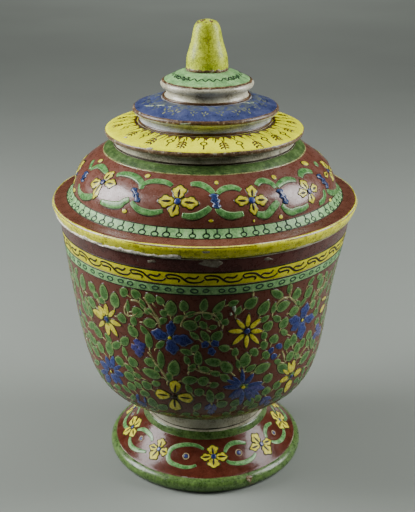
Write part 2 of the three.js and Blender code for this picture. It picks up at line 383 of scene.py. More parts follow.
def section_of(node: str) -> tuple[np.ndarray, bool]:
    """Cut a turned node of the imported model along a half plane.

    Args:
        node: The node's name.

    Returns:
        Its outline as rows of radius and height, and whether the outline closes on itself.
    """
    bm = bmesh.new()
    bm.from_mesh(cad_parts[node].data)
    bmesh.ops.remove_doubles(bm, verts=bm.verts, dist=WELD)
    widest = max(v.co.xy.length for v in bm.verts)
    flats = len({round(math.atan2(v.co.y, v.co.x), 2) for v in bm.verts
                 if v.co.xy.length > widest - 0.01 * MM})
    angle = math.pi / flats
    out = Vector((math.cos(angle), math.sin(angle), 0))
    side = Vector((-math.sin(angle), math.cos(angle), 0))
    everything = bm.verts[:] + bm.edges[:] + bm.faces[:]
    bmesh.ops.bisect_plane(bm, geom=everything, plane_co=(0, 0, 0), plane_no=out, clear_inner=True)
    everything = bm.verts[:] + bm.edges[:] + bm.faces[:]
    cut = bmesh.ops.bisect_plane(bm, geom=everything, plane_co=(0, 0, 0), plane_no=side)["geom_cut"]
    edges = [e for e in cut if isinstance(e, bmesh.types.BMEdge)]
    place = {v: (v.co.dot(out) / math.cos(angle), v.co.z) for e in edges for v in e.verts}
    near = {v: [] for v in place}
    for e in edges:
        near[e.verts[0]].append(e.verts[1])
        near[e.verts[1]].append(e.verts[0])
    ends = [v for v in near if len(near[v]) == 1]
    walk = [ends[0] if ends else next(iter(near))]
    while True:
        ahead = [v for v in near[walk[-1]] if v not in walk[-2:] and v is not walk[0]]
        if not ahead:
            break
        walk.append(ahead[0])
    outline = np.array([place[v] for v in walk])
    bm.free()
    return without_straights(outline, not ends), not ends


def neighbours(outline: np.ndarray, closed: bool) -> tuple[np.ndarray, np.ndarray]:
    """Find the points before and after each point; an open outline goes on mirrored across the axis.

    Args:
        outline: Rows of radius and height.
        closed: Whether it closes on itself.

    Returns:
        The rows before and the rows after.
    """
    before, after = np.roll(outline, 1, axis=0), np.roll(outline, -1, axis=0)
    if not closed:
        before[0], after[-1] = outline[1] * (-1, 1), outline[-2] * (-1, 1)
    return before, after


def turns_of(outline: np.ndarray, closed: bool) -> np.ndarray:
    """Measure how an outline turns.

    Args:
        outline: Rows of radius and height.
        closed: Whether it closes on itself.

    Returns:
        How far it turns at each of its points, in radians.
    """
    before, after = neighbours(outline, closed)
    into, away = outline - before, after - outline
    cross = into[:, 0] * away[:, 1] - into[:, 1] * away[:, 0]
    return np.abs(np.arctan2(cross, (into * away).sum(1)))


def without_straights(outline: np.ndarray, closed: bool, least: float = math.radians(0.6)) -> np.ndarray:
    """Take out the points on an outline's straight stretches.

    Args:
        outline: Rows of radius and height.
        closed: Whether it closes on itself.
        least: The least turn that keeps a point.

    Returns:
        The rows that are kept.
    """
    keep = turns_of(outline, closed) > least
    if not closed:
        keep[[0, -1]] = True
    return outline[keep]


def softened(outline: np.ndarray, closed: bool, softening: float, corner: float = math.radians(42),
             step: float = 1.2 * MM, level: float = 0.02 * MM, slack: float = 0.008 * MM) -> np.ndarray:
    """Draw an outline's curves smoothly through its points and round its corners.

    Args:
        outline: Rows of radius and height.
        closed: Whether it closes on itself; otherwise both ends lie on the axis.
        softening: How far from each corner its rounding starts.
        corner: The least turn that counts as a corner.
        step: Spacing of the points that the rounding works on.
        level: The most that a stretch may slope and still be kept straight.
        slack: How far off the rounded outline the result may lie.

    Returns:
        The finer outline.
    """
    sharp = turns_of(outline, closed) > corner
    before, after = neighbours(outline, closed)
    count = len(outline)
    fine: list[np.ndarray] = []
    for i in range(count if closed else count - 1):
        j = (i + 1) % count
        p1, p2 = outline[i], outline[j]
        length = float(np.hypot(*(p2 - p1)))
        flat = np.abs(p2 - p1).min() < level
        p0 = 2 * p1 - p2 if sharp[i] or flat or length > 3 * np.hypot(*(p1 - before[i])) else before[i]
        p3 = 2 * p2 - p1 if sharp[j] or flat or length > 3 * np.hypot(*(after[j] - p2)) else after[j]
        guard = min(softening, 0.4 * length)
        if sharp[i]:
            fine.append(p1 + (p2 - p1) / length * guard)
        parts = max(1, round(length / step))
        for share in (k / parts for k in range(parts)):
            if not any(turned and gap < 1.5 * guard
                       for turned, gap in ((sharp[i], share * length), (sharp[j], (1 - share) * length))):
                fine.append(between_points((p0, p1, p2, p3), share))
        if sharp[j]:
            fine.append(p2 + (p1 - p2) / length * guard)
    if not closed:
        fine.append(outline[-1])
    return thinned(refined(refined(np.array(fine), closed), closed), slack)


def between_points(points: Sequence[np.ndarray], share: float) -> np.ndarray:
    """Follow the even-handed curve through four points.

    Args:
        points: The four points.
        share: Share of the way from the second to the third.

    Returns:
        The point there.
    """
    knots = [0.0]
    for a, b in zip(points, points[1:]):
        knots.append(knots[-1] + max(float(np.hypot(*(b - a))), WELD) ** 0.5)
    t = knots[1] + (knots[2] - knots[1]) * share
    for spans in (((0, 1), (1, 2), (2, 3)), ((0, 2), (1, 3)), ((1, 2),)):
        points = [(knots[j] - t) / (knots[j] - knots[i]) * a + (t - knots[i]) / (knots[j] - knots[i]) * b
                  for (i, j), a, b in zip(spans, points, points[1:])]
    return points[0]


def refined(points: np.ndarray, closed: bool) -> np.ndarray:
    """Do one round of cubic subdivision.

    Args:
        points: Rows of radius and height.
        closed: Whether the outline closes on itself.

    Returns:
        Twice as many rows.
    """
    before, after = neighbours(points, closed)
    kept = (before + 6 * points + after) / 8
    if not closed:
        kept[[0, -1], 0] = 0
    woven = np.stack([kept, (points + after) / 2], axis=1).reshape(-1, 2)
    return woven if closed else woven[:-1]


def thinned(points: np.ndarray, slack: float, apart: int = 24) -> np.ndarray:
    """Take out the points that lie on the line between those kept.

    Args:
        points: Rows of radius and height.
        slack: How far off the line a point may lie.
        apart: The most places that two kept points may be apart.

    Returns:
        The rows that are kept.
    """
    keep = {0, len(points) - 1}
    spans = [(0, len(points) - 1)]
    while spans:
        first, last = spans.pop()
        if last - first < 2:
            continue
        way = points[last] - points[first]
        length = float(np.hypot(*way))
        offset = points[first + 1:last] - points[first]
        if length < WELD:
            away = np.hypot(offset[:, 0], offset[:, 1])
        else:
            away = np.abs(offset[:, 0] * way[1] - offset[:, 1] * way[0]) / length
        worst = int(np.argmax(away))
        if away[worst] > slack or last - first > apart:
            middle = first + 1 + worst if away[worst] > slack else (first + last) // 2
            keep.add(middle)
            spans += [(first, middle), (middle, last)]
    return points[sorted(keep)]


def lathe(name: str, outline: np.ndarray, closed: bool) -> Mesh:
    """Turn an outline about the axis.

    Args:
        name: The mesh's name.
        outline: Rows of radius and height.
        closed: Whether the outline closes on itself.

    Returns:
        The mesh.
    """
    angles = np.arange(LATHE_STEPS) * FULL_TURN / LATHE_STEPS
    ring = np.stack([np.sin(angles), -np.cos(angles)], axis=1)
    points = np.zeros((LATHE_STEPS, len(outline), 3))
    points[:, :, :2] = ring[:, None, :] * outline[None, :, :1]
    points[:, :, 2] = outline[None, :, 1]
    return revolved(name, points, closed)


def revolved(name: str, points: np.ndarray, closed: bool = True, inset: np.ndarray | None = None) -> Mesh:
    """Join the outlines that stand round the axis into one closed mesh, faces outward.

    Args:
        name: The mesh's name.
        points: The points of each outline in turn.
        closed: Whether the outlines close on themselves; otherwise both ends lie on the axis.
        inset: How far in from a stroke's border each point of an outline lies, where that is stored.

    Returns:
        The mesh.
    """
    count = points.shape[1]
    rows = np.arange(count if closed else count - 1)
    after = (rows + 1) % count
    faces = []
    for k in range(LATHE_STEPS):
        here, there = k * count, (k + 1) % LATHE_STEPS * count
        faces += np.stack([here + rows, there + rows, there + after, here + after], axis=1).tolist()
    mesh = bpy.data.meshes.new(name)
    mesh.from_pydata(points.reshape(-1, 3).tolist(), [], faces)
    if inset is not None:
        mesh.attributes.new("inset", "FLOAT", "POINT").data.foreach_set("value", np.tile(inset, LATHE_STEPS))
    face_outward(mesh, welded=True)
    mesh.shade_smooth()
    return mesh


def face_outward(mesh: Mesh, welded: bool) -> None:
    """Turn all faces of a closed mesh outward.

    Args:
        mesh: The mesh.
        welded: Whether its doubled points are merged first.
    """
    bm = bmesh.new()
    bm.from_mesh(mesh)
    if welded:
        bmesh.ops.remove_doubles(bm, verts=bm.verts, dist=WELD)
    bmesh.ops.recalc_face_normals(bm, faces=bm.faces)
    bm.to_mesh(mesh)
    bm.free()


def put(name: str, data: bpy.types.ID) -> Object:
    """Put an object into the scene.

    Args:
        name: Its name.
        data: Its mesh, curve, camera or light.

    Returns:
        The object, at the origin.
    """
    made = bpy.data.objects.new(name, data)
    bpy.context.scene.collection.objects.link(made)
    return made


@dataclass(frozen=True)
class TurnedFace:
    """The outer face of a turned piece, from its lowest edge up: runs, radii and heights along it."""

    runs: np.ndarray
    radii: np.ndarray
    heights: np.ndarray

    @classmethod
    def of(cls, outline: np.ndarray, closed: bool) -> "TurnedFace":
        """Take the outer face from a whole outline.

        Args:
            outline: Rows of radius and height.
            closed: Whether it closes on itself.

        Returns:
            The face.
        """
        radii, heights = outline[:, 0], outline[:, 1]
        flat = 0.03 * MM
        low = np.where(heights < heights.min() + flat)[0]
        high = np.where(heights > heights.max() - flat)[0]
        start, end = low[np.argmax(radii[low])], high[np.argmax(radii[high])]
        count = len(outline)
        forward = [(start + k) % count for k in range((end - start) % count + 1)]
        backward = [(start - k) % count for k in range((start - end) % count + 1)]
        if closed:
            path = max(forward, backward, key=lambda way: radii[way].mean())
        else:
            path = list(range(start, end + 1)) if start < end else list(range(start, end - 1, -1))
        points = outline[path]
        runs = np.concatenate([[0], np.cumsum(np.hypot(*np.diff(points, axis=0).T))])
        return cls(runs, points[:, 0], points[:, 1])

    def radius(self, run: float | np.ndarray) -> float | np.ndarray:
        """Return the radius at a run."""
        return np.interp(run, self.runs, self.radii)

    def height(self, run: float | np.ndarray) -> float | np.ndarray:
        """Return the height at a run."""
        return np.interp(run, self.runs, self.heights)

    def run_at(self, height: float) -> float:
        """Find where the face first reaches a height.

        Args:
            height: The height.

        Returns:
            The run there.
        """
        over = np.where(self.heights >= height)[0]
        k = max(1, over[0]) if len(over) else len(self.runs) - 1
        span = self.heights[k] - self.heights[k - 1]
        share = (height - self.heights[k - 1]) / span if abs(span) > WELD else 0.0
        return float(self.runs[k - 1] + np.clip(share, 0, 1) * (self.runs[k] - self.runs[k - 1]))

    @property
    def length(self) -> float:
        """The whole run of the face."""
        return float(self.runs[-1])

    def lifted(self, angle: np.ndarray, run: np.ndarray, rise: np.ndarray) -> np.ndarray:
        """Find points over the face.

        Args:
            angle: Their angles from the front.
            run: Their runs.
            rise: How far each stands over the face.

        Returns:
            The points in space.
        """
        step = 0.05 * MM
        ahead, behind = np.clip(run + step, 0, self.length), np.clip(run - step, 0, self.length)
        along = np.stack([of(ahead) - of(behind) for of in (self.radius, self.height)], -1)
        along /= np.maximum(np.linalg.norm(along, axis=-1, keepdims=True), WELD * WELD)
        radius = self.radius(run) + rise * along[..., 1]
        height = self.height(run) - rise * along[..., 0]
        return np.stack([radius * np.sin(angle), -radius * np.cos(angle), height], -1)

    def curve(self, name: str) -> Object:
        """Draw the face's outline as a curve, standing where the front of the jar is.

        Args:
            name: The curve's name.

        Returns:
            The curve's object.
        """
        data = bpy.data.curves.new(name, "CURVE")
        data.dimensions = "3D"
        spline = data.splines.new("POLY")
        spline.points.add(len(self.runs) - 1)
        rows = np.stack([0 * self.radii, -self.radii, self.heights, 0 * self.radii + 1], 1)
        spline.points.foreach_set("co", rows.ravel())
        return put(name, data)


@dataclass(frozen=True)
class Viewpoint:
    """Where the photograph was taken from, and how it looks down on the jar.

    A pixel just off a face is moved onto it by STEP pixels up to TRIES times. A ray is followed LEAN_ROUNDS
    times, each time with the pot's lean where it last met the face.
    """

    focal_px: float = 975.5
    width_px: int = 415
    height_px: int = 512
    stand_back: float = 411.2 * MM
    height: float = 261.8 * MM
    pitch_deg: float = 21.87
    yaw_deg: float = 0.22
    roll_deg: float = 0.12
    sensor_mm: float = 36.0

    TRIES: ClassVar[int] = 60
    STEP: ClassVar[tuple[float, float]] = (0.5, 0.25)
    LEAN_ROUNDS: ClassVar[int] = 3

    def matrix(self) -> Matrix:
        """Work out where the camera stands and how it is turned.

        Returns:
            Its place and turn.
        """
        turn = (Matrix.Rotation(math.radians(-self.yaw_deg), 4, "Z")
                @ Matrix.Rotation(math.radians(90 - self.pitch_deg), 4, "X")
                @ Matrix.Rotation(math.radians(self.roll_deg), 4, "Z"))
        return Matrix.Translation((0, -self.stand_back, self.height)) @ turn

    def camera(self) -> Object:
        """Add the camera and make it the scene's own.

        Returns:
            The camera.
        """
        data = bpy.data.cameras.new("photograph_camera")
        data.sensor_width = self.sensor_mm
        data.lens = self.focal_px * self.sensor_mm / self.height_px
        made = put("photograph_camera", data)
        made.matrix_world = self.matrix()
        bpy.context.scene.camera = made
        return made

    def cast(self, x: float, y: float, face: TurnedFace) -> tuple[float, float]:
        """Find the place on a turned face that a pixel shows.

        Args:
            x: Pixel column.
            y: Pixel row.
            face: The face that it is painted on.

        Returns:
            Angle from the front and run up the face. A pixel just off the face takes its nearest edge.
        """
        centre = self.width_px / 2
        for _ in range(self.TRIES):
            found = self.hit(x, y, face)
            if found:
                return found
            x += self.STEP[0] if x < centre else -self.STEP[0]
            y -= self.STEP[1]
        return 0.0, face.length / 2

    def hit(self, x: float, y: float, face: TurnedFace) -> tuple[float, float] | None:
        """Follow a pixel's ray to where it first meets a face.

        Args:
            x: Pixel column.
            y: Pixel row.
            face: The face.

        Returns:
            Angle and run there, or None where it misses.
        """
        turn = self.matrix()
        way = turn.to_3x3() @ Vector(((x - self.width_px / 2) / self.focal_px,
                                      (self.height_px / 2 - y) / self.focal_px, -1.0))
        eye = turn.translation.copy()
        low = face.heights[:-1]
        tall = np.diff(face.heights)
        tall = np.where(np.abs(tall) < WELD, WELD, tall)
        slope = np.diff(face.radii) / tall
        shift, found, slack = 0.0, None, 1e-6
        for _ in range(self.LEAN_ROUNDS):
            ex = eye.x - shift
            base = face.radii[:-1] + (eye.z - low) * slope
            a = way.x ** 2 + way.y ** 2 - (slope * way.z) ** 2
            b = ex * way.x + eye.y * way.y - base * slope * way.z
            c = ex ** 2 + eye.y ** 2 - base ** 2
            root = np.sqrt(np.maximum(b * b - a * c, 0))
            times = np.stack([(-b - root) / a, (-b + root) / a])
            shares = (eye.z + times * way.z - low) / tall
            good = (b * b >= a * c) & (times > 0) & (shares >= -slack) & (shares <= 1 + slack)
            if not good.any():
                return None
            first = np.unravel_index(np.argmin(np.where(good, times, np.inf)), times.shape)
            t, k = times[first], first[1]
            run = face.runs[k] + shares[first] * (face.runs[k + 1] - face.runs[k])
            found = (math.atan2(ex + t * way.x, -(eye.y + t * way.y)), float(run))
            shift = float(THROWN.lean(eye.z + t * way.z))
        return found


PHOTO = Viewpoint()


class Relief:
    """Enamel laid on in strokes: closed pads and ribbons in flat coordinates, across, along and rise.

    Each point stores its inset, 0 on a stroke's border and 1 in its middle. Skirts are flat-shaded, so that a
    stroke's top catches the light as thin as it is. SECTION is a stroke across: side, height and inset of
    each point as shares, with None for the height of the hidden one underneath.
    """

    SECTION = ((-1, 0.25, 0.0), (-0.6, 0.85, 0.4), (0, 1, 1.0), (0.6, 0.85, 0.4), (1, 0.25, 0.0),
               (0, None, 0.0))

    def __init__(self) -> None:
        """Start with nothing laid on."""
        self.points: list[tuple[float, float, float]] = []
        self.faces: list[tuple[int, ...]] = []
        self.inset: list[float] = []
        self.smooth: list[bool] = []

    def pad(self, outline: Path, rise: float, crown: Path = ((1, 0.3), (0.84, 0.85), (0.45, 1))) -> "Relief":
        """Lay one crowned pad.

        Args:
            outline: Its border, counter-clockwise, star-shaped about its middle.
            rise: Its greatest height.
            crown: Share of the border and share of the rise, ring by ring inward.

        Returns:
            The relief itself.
        """
        count = len(outline)
        cx = sum(p[0] for p in outline) / count
        cy = sum(p[1] for p in outline) / count
        first = len(self.points)
        rings = [(1.0, -SINK, 0.0)] + [(share, rise * up, 1 - share) for share, up in crown]
        for share, up, inset in rings:
            self.points += [(cx + (x - cx) * share, cy + (y - cy) * share, up) for x, y in outline]
            self.inset += [inset] * count
        for ring in range(len(rings) - 1):
            for i in range(count):
                j = (i + 1) % count
                a, b = first + ring * count, first + (ring + 1) * count
                self.faces.append((a + i, a + j, b + j, b + i))
                self.smooth.append(ring > 0)
        top, bottom = len(self.points), len(self.points) + 1
        self.points += [(cx, cy, rise), (cx, cy, -SINK)]
        self.inset += [1.0, 0.0]
        last = first + (len(rings) - 1) * count
        for i in range(count):
            j = (i + 1) % count
            self.faces += [(last + i, last + j, top), (first + j, first + i, bottom)]
            self.smooth += [True, False]
        return self

    def ribbon(self, path: Path, widths: float | Sequence[float], rise: float,
               radius: Callable[[float], float] | None = None, closed: bool = False) -> "Relief":
        """Lay one brush stroke along a path.

        Args:
            path: Its middle line.
            widths: Its full width, one for all or one for each point.
            rise: Its greatest height.
            radius: Radius at a run where the path's first coordinate is an angle.
            closed: Whether the stroke ends where it started.

        Returns:
            The relief itself.
        """
        count = len(path)
        wide = [widths] * count if isinstance(widths, (int, float)) else list(widths)
        first = len(self.points)
        for i, (x, y) in enumerate(path):
            before = path[i - 1] if i or closed else path[i]
            after = path[(i + 1) % count] if i < count - 1 or closed else path[i]
            scale = radius(y) if radius else 1.0
            across, along = (after[0] - before[0]), after[1] - before[1]
            if radius and closed and abs(across) > math.pi:
                across -= math.copysign(FULL_TURN, across)
            tx, ty = across * scale, along
            length = math.hypot(tx, ty) or 1.0
            nx, ny = -ty / length, tx / length
            for side, up, inset in self.SECTION:
                reach = side * wide[i] / 2
                lift = -SINK if up is None else rise * up
                self.points.append((x + nx * reach / scale, y + ny * reach, lift))
                self.inset.append(inset)
        size = len(self.SECTION)
        for i in range(count if closed else count - 1):
            a, b = first + i * size, first + (i + 1) % count * size
            for k in range(size):
                m = (k + 1) % size
                self.faces.append((a + k, b + k, b + m, a + m))
                self.smooth.append(k < size - 2)
        if not closed:
            self.faces.append(tuple(first + k for k in range(size)))
            end = first + (count - 1) * size
            self.faces.append(tuple(end + k for k in reversed(range(size))))
            self.smooth += [False, False]
        return self

    def mesh(self, name: str) -> Mesh:
        """Join the strokes into one mesh with their inset stored on its points.

        Args:
            name: The mesh's name.

        Returns:
            The mesh.
        """
        made = bpy.data.meshes.new(name)
        made.from_pydata(self.points, [], self.faces)
        made.attributes.new("inset", "FLOAT", "POINT").data.foreach_set("value", self.inset)
        made.polygons.foreach_set("use_smooth", self.smooth)
        face_outward(made, welded=False)
        return made


def leaf_outline(length: float, width: float, skew: float = 0.85, steps: int = 7, blunt: float = 0.8) -> Path:
    """Draw an almond border, fullest a little below its middle.

    Args:
        length: Its length.
        width: Its width.
        skew: How far its fullest part lies from its middle; 1 is at the middle.
        steps: How many parts each side is drawn in.
        blunt: How blunt its ends are; the lower, the rounder.

    Returns:
        The border, counter-clockwise.
    """
    shares = [i / steps for i in range(1, steps)]
    half = [(width / 2 * math.sin(math.pi * s ** skew) ** blunt, (s - 0.5) * length) for s in shares]
    return half + [(0.0, length / 2)] + [(-x, y) for x, y in reversed(half)] + [(0.0, -length / 2)]


def smooth_path(points: Path, parts: int = 4) -> Path:
    """Draw a Catmull-Rom curve through points.

    Args:
        points: The points.
        parts: How many parts it has between each two points.

    Returns:
        The curve's points.
    """
    made = []
    for i in range(len(points) - 1):
        p = [points[min(max(i + k, 0), len(points) - 1)] for k in (-1, 0, 1, 2)]
        for t in (j / parts for j in range(parts)):
            made.append(tuple(0.5 * (2 * p[1][c] + (p[2][c] - p[0][c]) * t
                                     + (2 * p[0][c] - 5 * p[1][c] + 4 * p[2][c] - p[3][c]) * t * t
                                     + (3 * p[1][c] - p[0][c] - 3 * p[2][c] + p[3][c]) * t ** 3)
                              for c in (0, 1)))
    return [*made, tuple(points[-1])]


def tapered(count: int, width: float, ends: float = 0.3) -> list[float]:
    """Return the widths of a brush stroke that is full in its middle and thin at its ends."""
    return [width * (ends + (1 - ends) * math.sin(math.pi * i / (count - 1)) ** 0.7) for i in range(count)]


class Wrap:
    """The Geometry Nodes trees that lay flat enamel on a turned face; KINDS gives their inputs' types."""

    KINDS = {"Geometry": "Geometry", "Face": "Object", "Enamel": "Material", "Motif": "Object", "Seed": "Int",
             "Count": "Int", "Run": "Float", "First Angle": "Float", "Unevenness": "Float"}
    UNEVEN_RUN = 1.5 * MM
    UNEVEN_TURN = 1.2

    @classmethod
    def new_tree(cls, name: str, labels: Sequence[str]) -> NodeTree:
        """Start a tree.

        Args:
            name: Its name.
            labels: The names of its inputs.

        Returns:
            The tree, with those inputs and a geometry output.
        """
        tree = bpy.data.node_groups.new(name, "GeometryNodeTree")
        for label in labels:
            tree.interface.new_socket(label, in_out="INPUT", socket_type=f"NodeSocket{cls.KINDS[label]}")
        tree.interface.new_socket("Geometry", in_out="OUTPUT", socket_type="NodeSocketGeometry")
        return tree

    @staticmethod
    def finish(tree: NodeTree, flat: NodeSocket, given: Sockets, angle: NodeSocket,
               across: NodeSocket | float, run: NodeSocket, rise: NodeSocket) -> None:
        """Bend flat geometry onto the face, give it its enamel and end the tree.

        Args:
            tree: The tree that is ended.
            flat: Geometry in flat coordinates.
            given: The tree's inputs.
            angle: Angle from the front.
            across: Distance across from there.
            run: Run up the face.
            rise: Height above the face.
        """
        node = partial(add_node, tree)
        outline = node("GeometryNodeObjectInfo", {"Object": given["Face"]}).outputs["Geometry"]
        sample = node("GeometryNodeSampleCurve", {"Curves": outline, "Length": run}, mode="LENGTH",
                      use_all_curves=True).outputs
        outward = node("ShaderNodeVectorMath", {0: (1, 0, 0), 1: sample["Tangent"]},
                       operation="CROSS_PRODUCT").outputs[0]
        raised = node("ShaderNodeVectorMath", {0: outward, 1: rise, 2: sample["Position"]},
                      operation="MULTIPLY_ADD").outputs[0]
        depth = node("ShaderNodeSeparateXYZ", {0: sample["Position"]}).outputs["Y"]
        aside = node("ShaderNodeMath", {0: across, 1: depth}, operation="DIVIDE").outputs[0]
        turn = node("ShaderNodeMath", {0: angle, 1: aside}, operation="SUBTRACT").outputs[0]
        place = node("ShaderNodeVectorRotate", {"Vector": raised, "Angle": turn}, rotation_type="Z_AXIS")
        real = node("GeometryNodeRealizeInstances", {"Geometry": flat}).outputs[0]
        laid = node("GeometryNodeSetPosition", {"Geometry": real, "Position": place.outputs[0]}).outputs[0]
        done = node("GeometryNodeSetMaterial", {"Geometry": laid, "Material": given["Enamel"]}).outputs[0]
        node("NodeGroupOutput", {"Geometry": done})

    @classmethod
    @cache
    def strokes(cls) -> NodeTree:
        """Make the tree for strokes drawn in angle and run.

        Returns:
            The tree.
        """
        tree = cls.new_tree("lay_strokes", ("Geometry", "Face", "Enamel"))
        given = add_node(tree, "NodeGroupInput").outputs
        at = add_node(tree, "GeometryNodeInputPosition").outputs[0]
        spot = add_node(tree, "ShaderNodeSeparateXYZ", {0: at}).outputs
        cls.finish(tree, given["Geometry"], given, spot["X"], 0.0, spot["Y"], spot["Z"])
        return tree

    @classmethod
    @cache
    def motifs(cls) -> NodeTree:
        """Make the tree for one motif on many places, each with its own angle, run, turn and size.

        Returns:
            The tree.
        """
        tree = cls.new_tree("lay_motifs", ("Geometry", "Motif", "Face", "Enamel", "Seed"))
        given = add_node(tree, "NodeGroupInput").outputs
        cls.lay(tree, given["Geometry"], given)
        return tree

    @classmethod
    @cache
    def rings(cls) -> NodeTree:
        """Make the tree for one motif repeated evenly round a face, with a little unevenness.

        Returns:
            The tree.
        """
        tree = cls.new_tree("lay_rings", tuple(cls.KINDS))
        node = partial(add_node, tree)
        given = node("NodeGroupInput").outputs
        points = node("GeometryNodePoints", {"Count": given["Count"]}).outputs[0]
        index = node("GeometryNodeInputIndex").outputs[0]
        chance = node("FunctionNodeRandomValue", {0: (-1, -1, -1), 1: (1, 1, 1), "Seed": given["Seed"]},
                      data_type="FLOAT_VECTOR").outputs[0]
        stray = node("ShaderNodeVectorMath", {0: chance, 3: given["Unevenness"]}, operation="SCALE")
        stray = node("ShaderNodeSeparateXYZ", {0: stray.outputs[0]}).outputs
        pitch = node("ShaderNodeMath", {0: FULL_TURN, 1: given["Count"]}, operation="DIVIDE").outputs[0]
        step = node("ShaderNodeMath", {0: index, 1: stray["X"]}, operation="ADD").outputs[0]
        grow = node("ShaderNodeMath", {0: stray["Z"], 1: 1.0}, operation="ADD").outputs[0]
        for name, kind, inputs in (
                ("place_angle", "MULTIPLY_ADD", {0: step, 1: pitch, 2: given["First Angle"]}),
                ("place_run", "MULTIPLY_ADD", {0: stray["Y"], 1: cls.UNEVEN_RUN, 2: given["Run"]}),
                ("turn", "MULTIPLY", {0: stray["Y"], 1: cls.UNEVEN_TURN})):
            value = node("ShaderNodeMath", inputs, operation=kind).outputs[0]
            points = node("GeometryNodeStoreNamedAttribute",
                          {"Geometry": points, "Name": name, "Value": value}, data_type="FLOAT").outputs[0]
        size = node("ShaderNodeCombineXYZ", {"X": grow, "Y": grow, "Z": 1.0}).outputs[0]
        points = node("GeometryNodeStoreNamedAttribute", {"Geometry": points, "Name": "size", "Value": size},
                      data_type="FLOAT_VECTOR").outputs[0]
        cls.lay(tree, points, given)
        return tree

    @classmethod
    def lay(cls, tree: NodeTree, points: NodeSocket, given: Sockets) -> None:
        """Put the motif on every point, bend it onto the face and end the tree.

        Args:
            tree: The tree that is ended.
            points: The points, with their places stored on them.
            given: The tree's inputs.
        """
        node = partial(add_node, tree)
        angle, base, turn, size = (
            node("GeometryNodeInputNamedAttribute", {"Name": name}, data_type=kind).outputs[0]
            for name, kind in (("place_angle", "FLOAT"), ("place_run", "FLOAT"), ("turn", "FLOAT"),
                               ("size", "FLOAT_VECTOR")))
        chance = node("FunctionNodeRandomValue", {"Seed": given["Seed"]}, data_type="FLOAT").outputs[1]
        points = node("GeometryNodeStoreNamedAttribute",
                      {"Geometry": points, "Name": "tint", "Value": chance}, data_type="FLOAT").outputs[0]
        points = node("GeometryNodeSetPosition", {"Geometry": points, "Position": (0, 0, 0)}).outputs[0]
        shape = node("GeometryNodeObjectInfo", {"Object": given["Motif"]}).outputs["Geometry"]
        spin = node("ShaderNodeCombineXYZ", {"Z": turn}).outputs[0]
        copies = node("GeometryNodeInstanceOnPoints",
                      {"Points": points, "Instance": shape, "Rotation": spin, "Scale": size}).outputs[0]
        at = node("GeometryNodeInputPosition").outputs[0]
        spot = node("ShaderNodeSeparateXYZ", {0: at}).outputs
        run = node("ShaderNodeMath", {0: spot["Y"], 1: base}, operation="ADD").outputs[0]
        cls.finish(tree, copies, given, angle, spot["X"], run, spot["Z"])


def grown(name: str, tree: NodeTree, source: Mesh, values: dict) -> Object:
    """Run a tree on a mesh and keep the result as a plain mesh.

    Args:
        name: The piece's name.
        tree: The Geometry Nodes tree.
        source: The mesh that the tree starts from.
        values: The tree's inputs by name.

    Returns:
        The piece, with its modifier gone.
    """
    piece = put(name, source)
    modifier = piece.modifiers.new("lay_enamel", "NODES")
    modifier.node_group = tree
    for item in tree.interface.items_tree:
        if item.in_out == "INPUT" and item.name in values:
            modifier[item.identifier] = values[item.name]
    depsgraph = bpy.context.evaluated_depsgraph_get()
    evaluated = piece.evaluated_get(depsgraph)
    mesh = bpy.data.meshes.new_from_object(evaluated, preserve_all_data_layers=True, depsgraph=depsgraph)
    piece.modifiers.remove(modifier)
    piece.data = mesh
    mesh.name = name
    return piece


@dataclass(frozen=True)
class Place:
    """Where one motif is laid: angle, run, turn, and how it is stretched across and along."""

    angle: float
    run: float
    turn: float = 0.0
    across: float = 1.0
    along: float = 1.0

    def round_by(self, angle: float) -> "Place":
        """Return the same place further round the jar."""
        return Place(self.angle + angle, self.run, self.turn, self.across, self.along)

    def mirrored(self) -> "Place":
        """Return the same place mirrored about the nearer side of the jar."""
        return Place(math.copysign(math.pi, self.angle) - self.angle, self.run, -self.turn, self.across,
                     self.along)

    def inner(self, width: float, share: float, shift: float = 0.0) -> "Place":
        """Return a slimmer place inside this one, moved along it by a share of its length."""
        return Place(self.angle, self.run + shift * self.along * math.cos(self.turn), self.turn, width,
                     self.along * share)


def places_round(places: Sequence[Place], side: float, spread: float = 1.0) -> list[Place]:
    """Carry places that were traced on the front all round the jar.

    Args:
        places: Places traced on the front.
        side: Angle up to which they are repeated half a turn on; those beyond it are mirrored at the side.
        spread: How far apart they stand there, as a share of the front's spacing.

    Returns:
        All the places.
    """
    return [*places, *(p.round_by(math.pi + (spread - 1) * p.angle) if abs(p.angle) < side else p.mirrored()
                       for p in places)]


def path_round(path: Path, side: float, spread: float = 1.0) -> Path:
    """Carry a path that was traced on the front to its other place, as places_round does.

    Args:
        path: The path.
        side: Angle up to which it is repeated half a turn on; beyond it, it is mirrored at the side.
        spread: How far apart its points stand there, as a share of the front's spacing.

    Returns:
        The other path.
    """
    middle = sum(angle for angle, _ in path) / len(path)
    if abs(middle) < side:
        return [(math.pi + spread * angle, run) for angle, run in path]
    return [(math.copysign(math.pi, middle) - angle, run) for angle, run in path]


def points_mesh(name: str, places: Sequence[Place]) -> Mesh:
    """Make a mesh of loose points that carry places.

    Args:
        name: The mesh's name.
        places: The places.

    Returns:
        The mesh.
    """
    mesh = bpy.data.meshes.new(name)
    mesh.from_pydata([(0, 0, 0)] * len(places), [], [])
    for key, values in (("place_angle", [p.angle for p in places]), ("place_run", [p.run for p in places]),
                        ("turn", [p.turn for p in places])):
        mesh.attributes.new(key, "FLOAT", "POINT").data.foreach_set("value", values)
    sizes = [v for p in places for v in (p.across, p.along, 1.0)]
    mesh.attributes.new("size", "FLOAT_VECTOR", "POINT").data.foreach_set("vector", sizes)
    return mesh


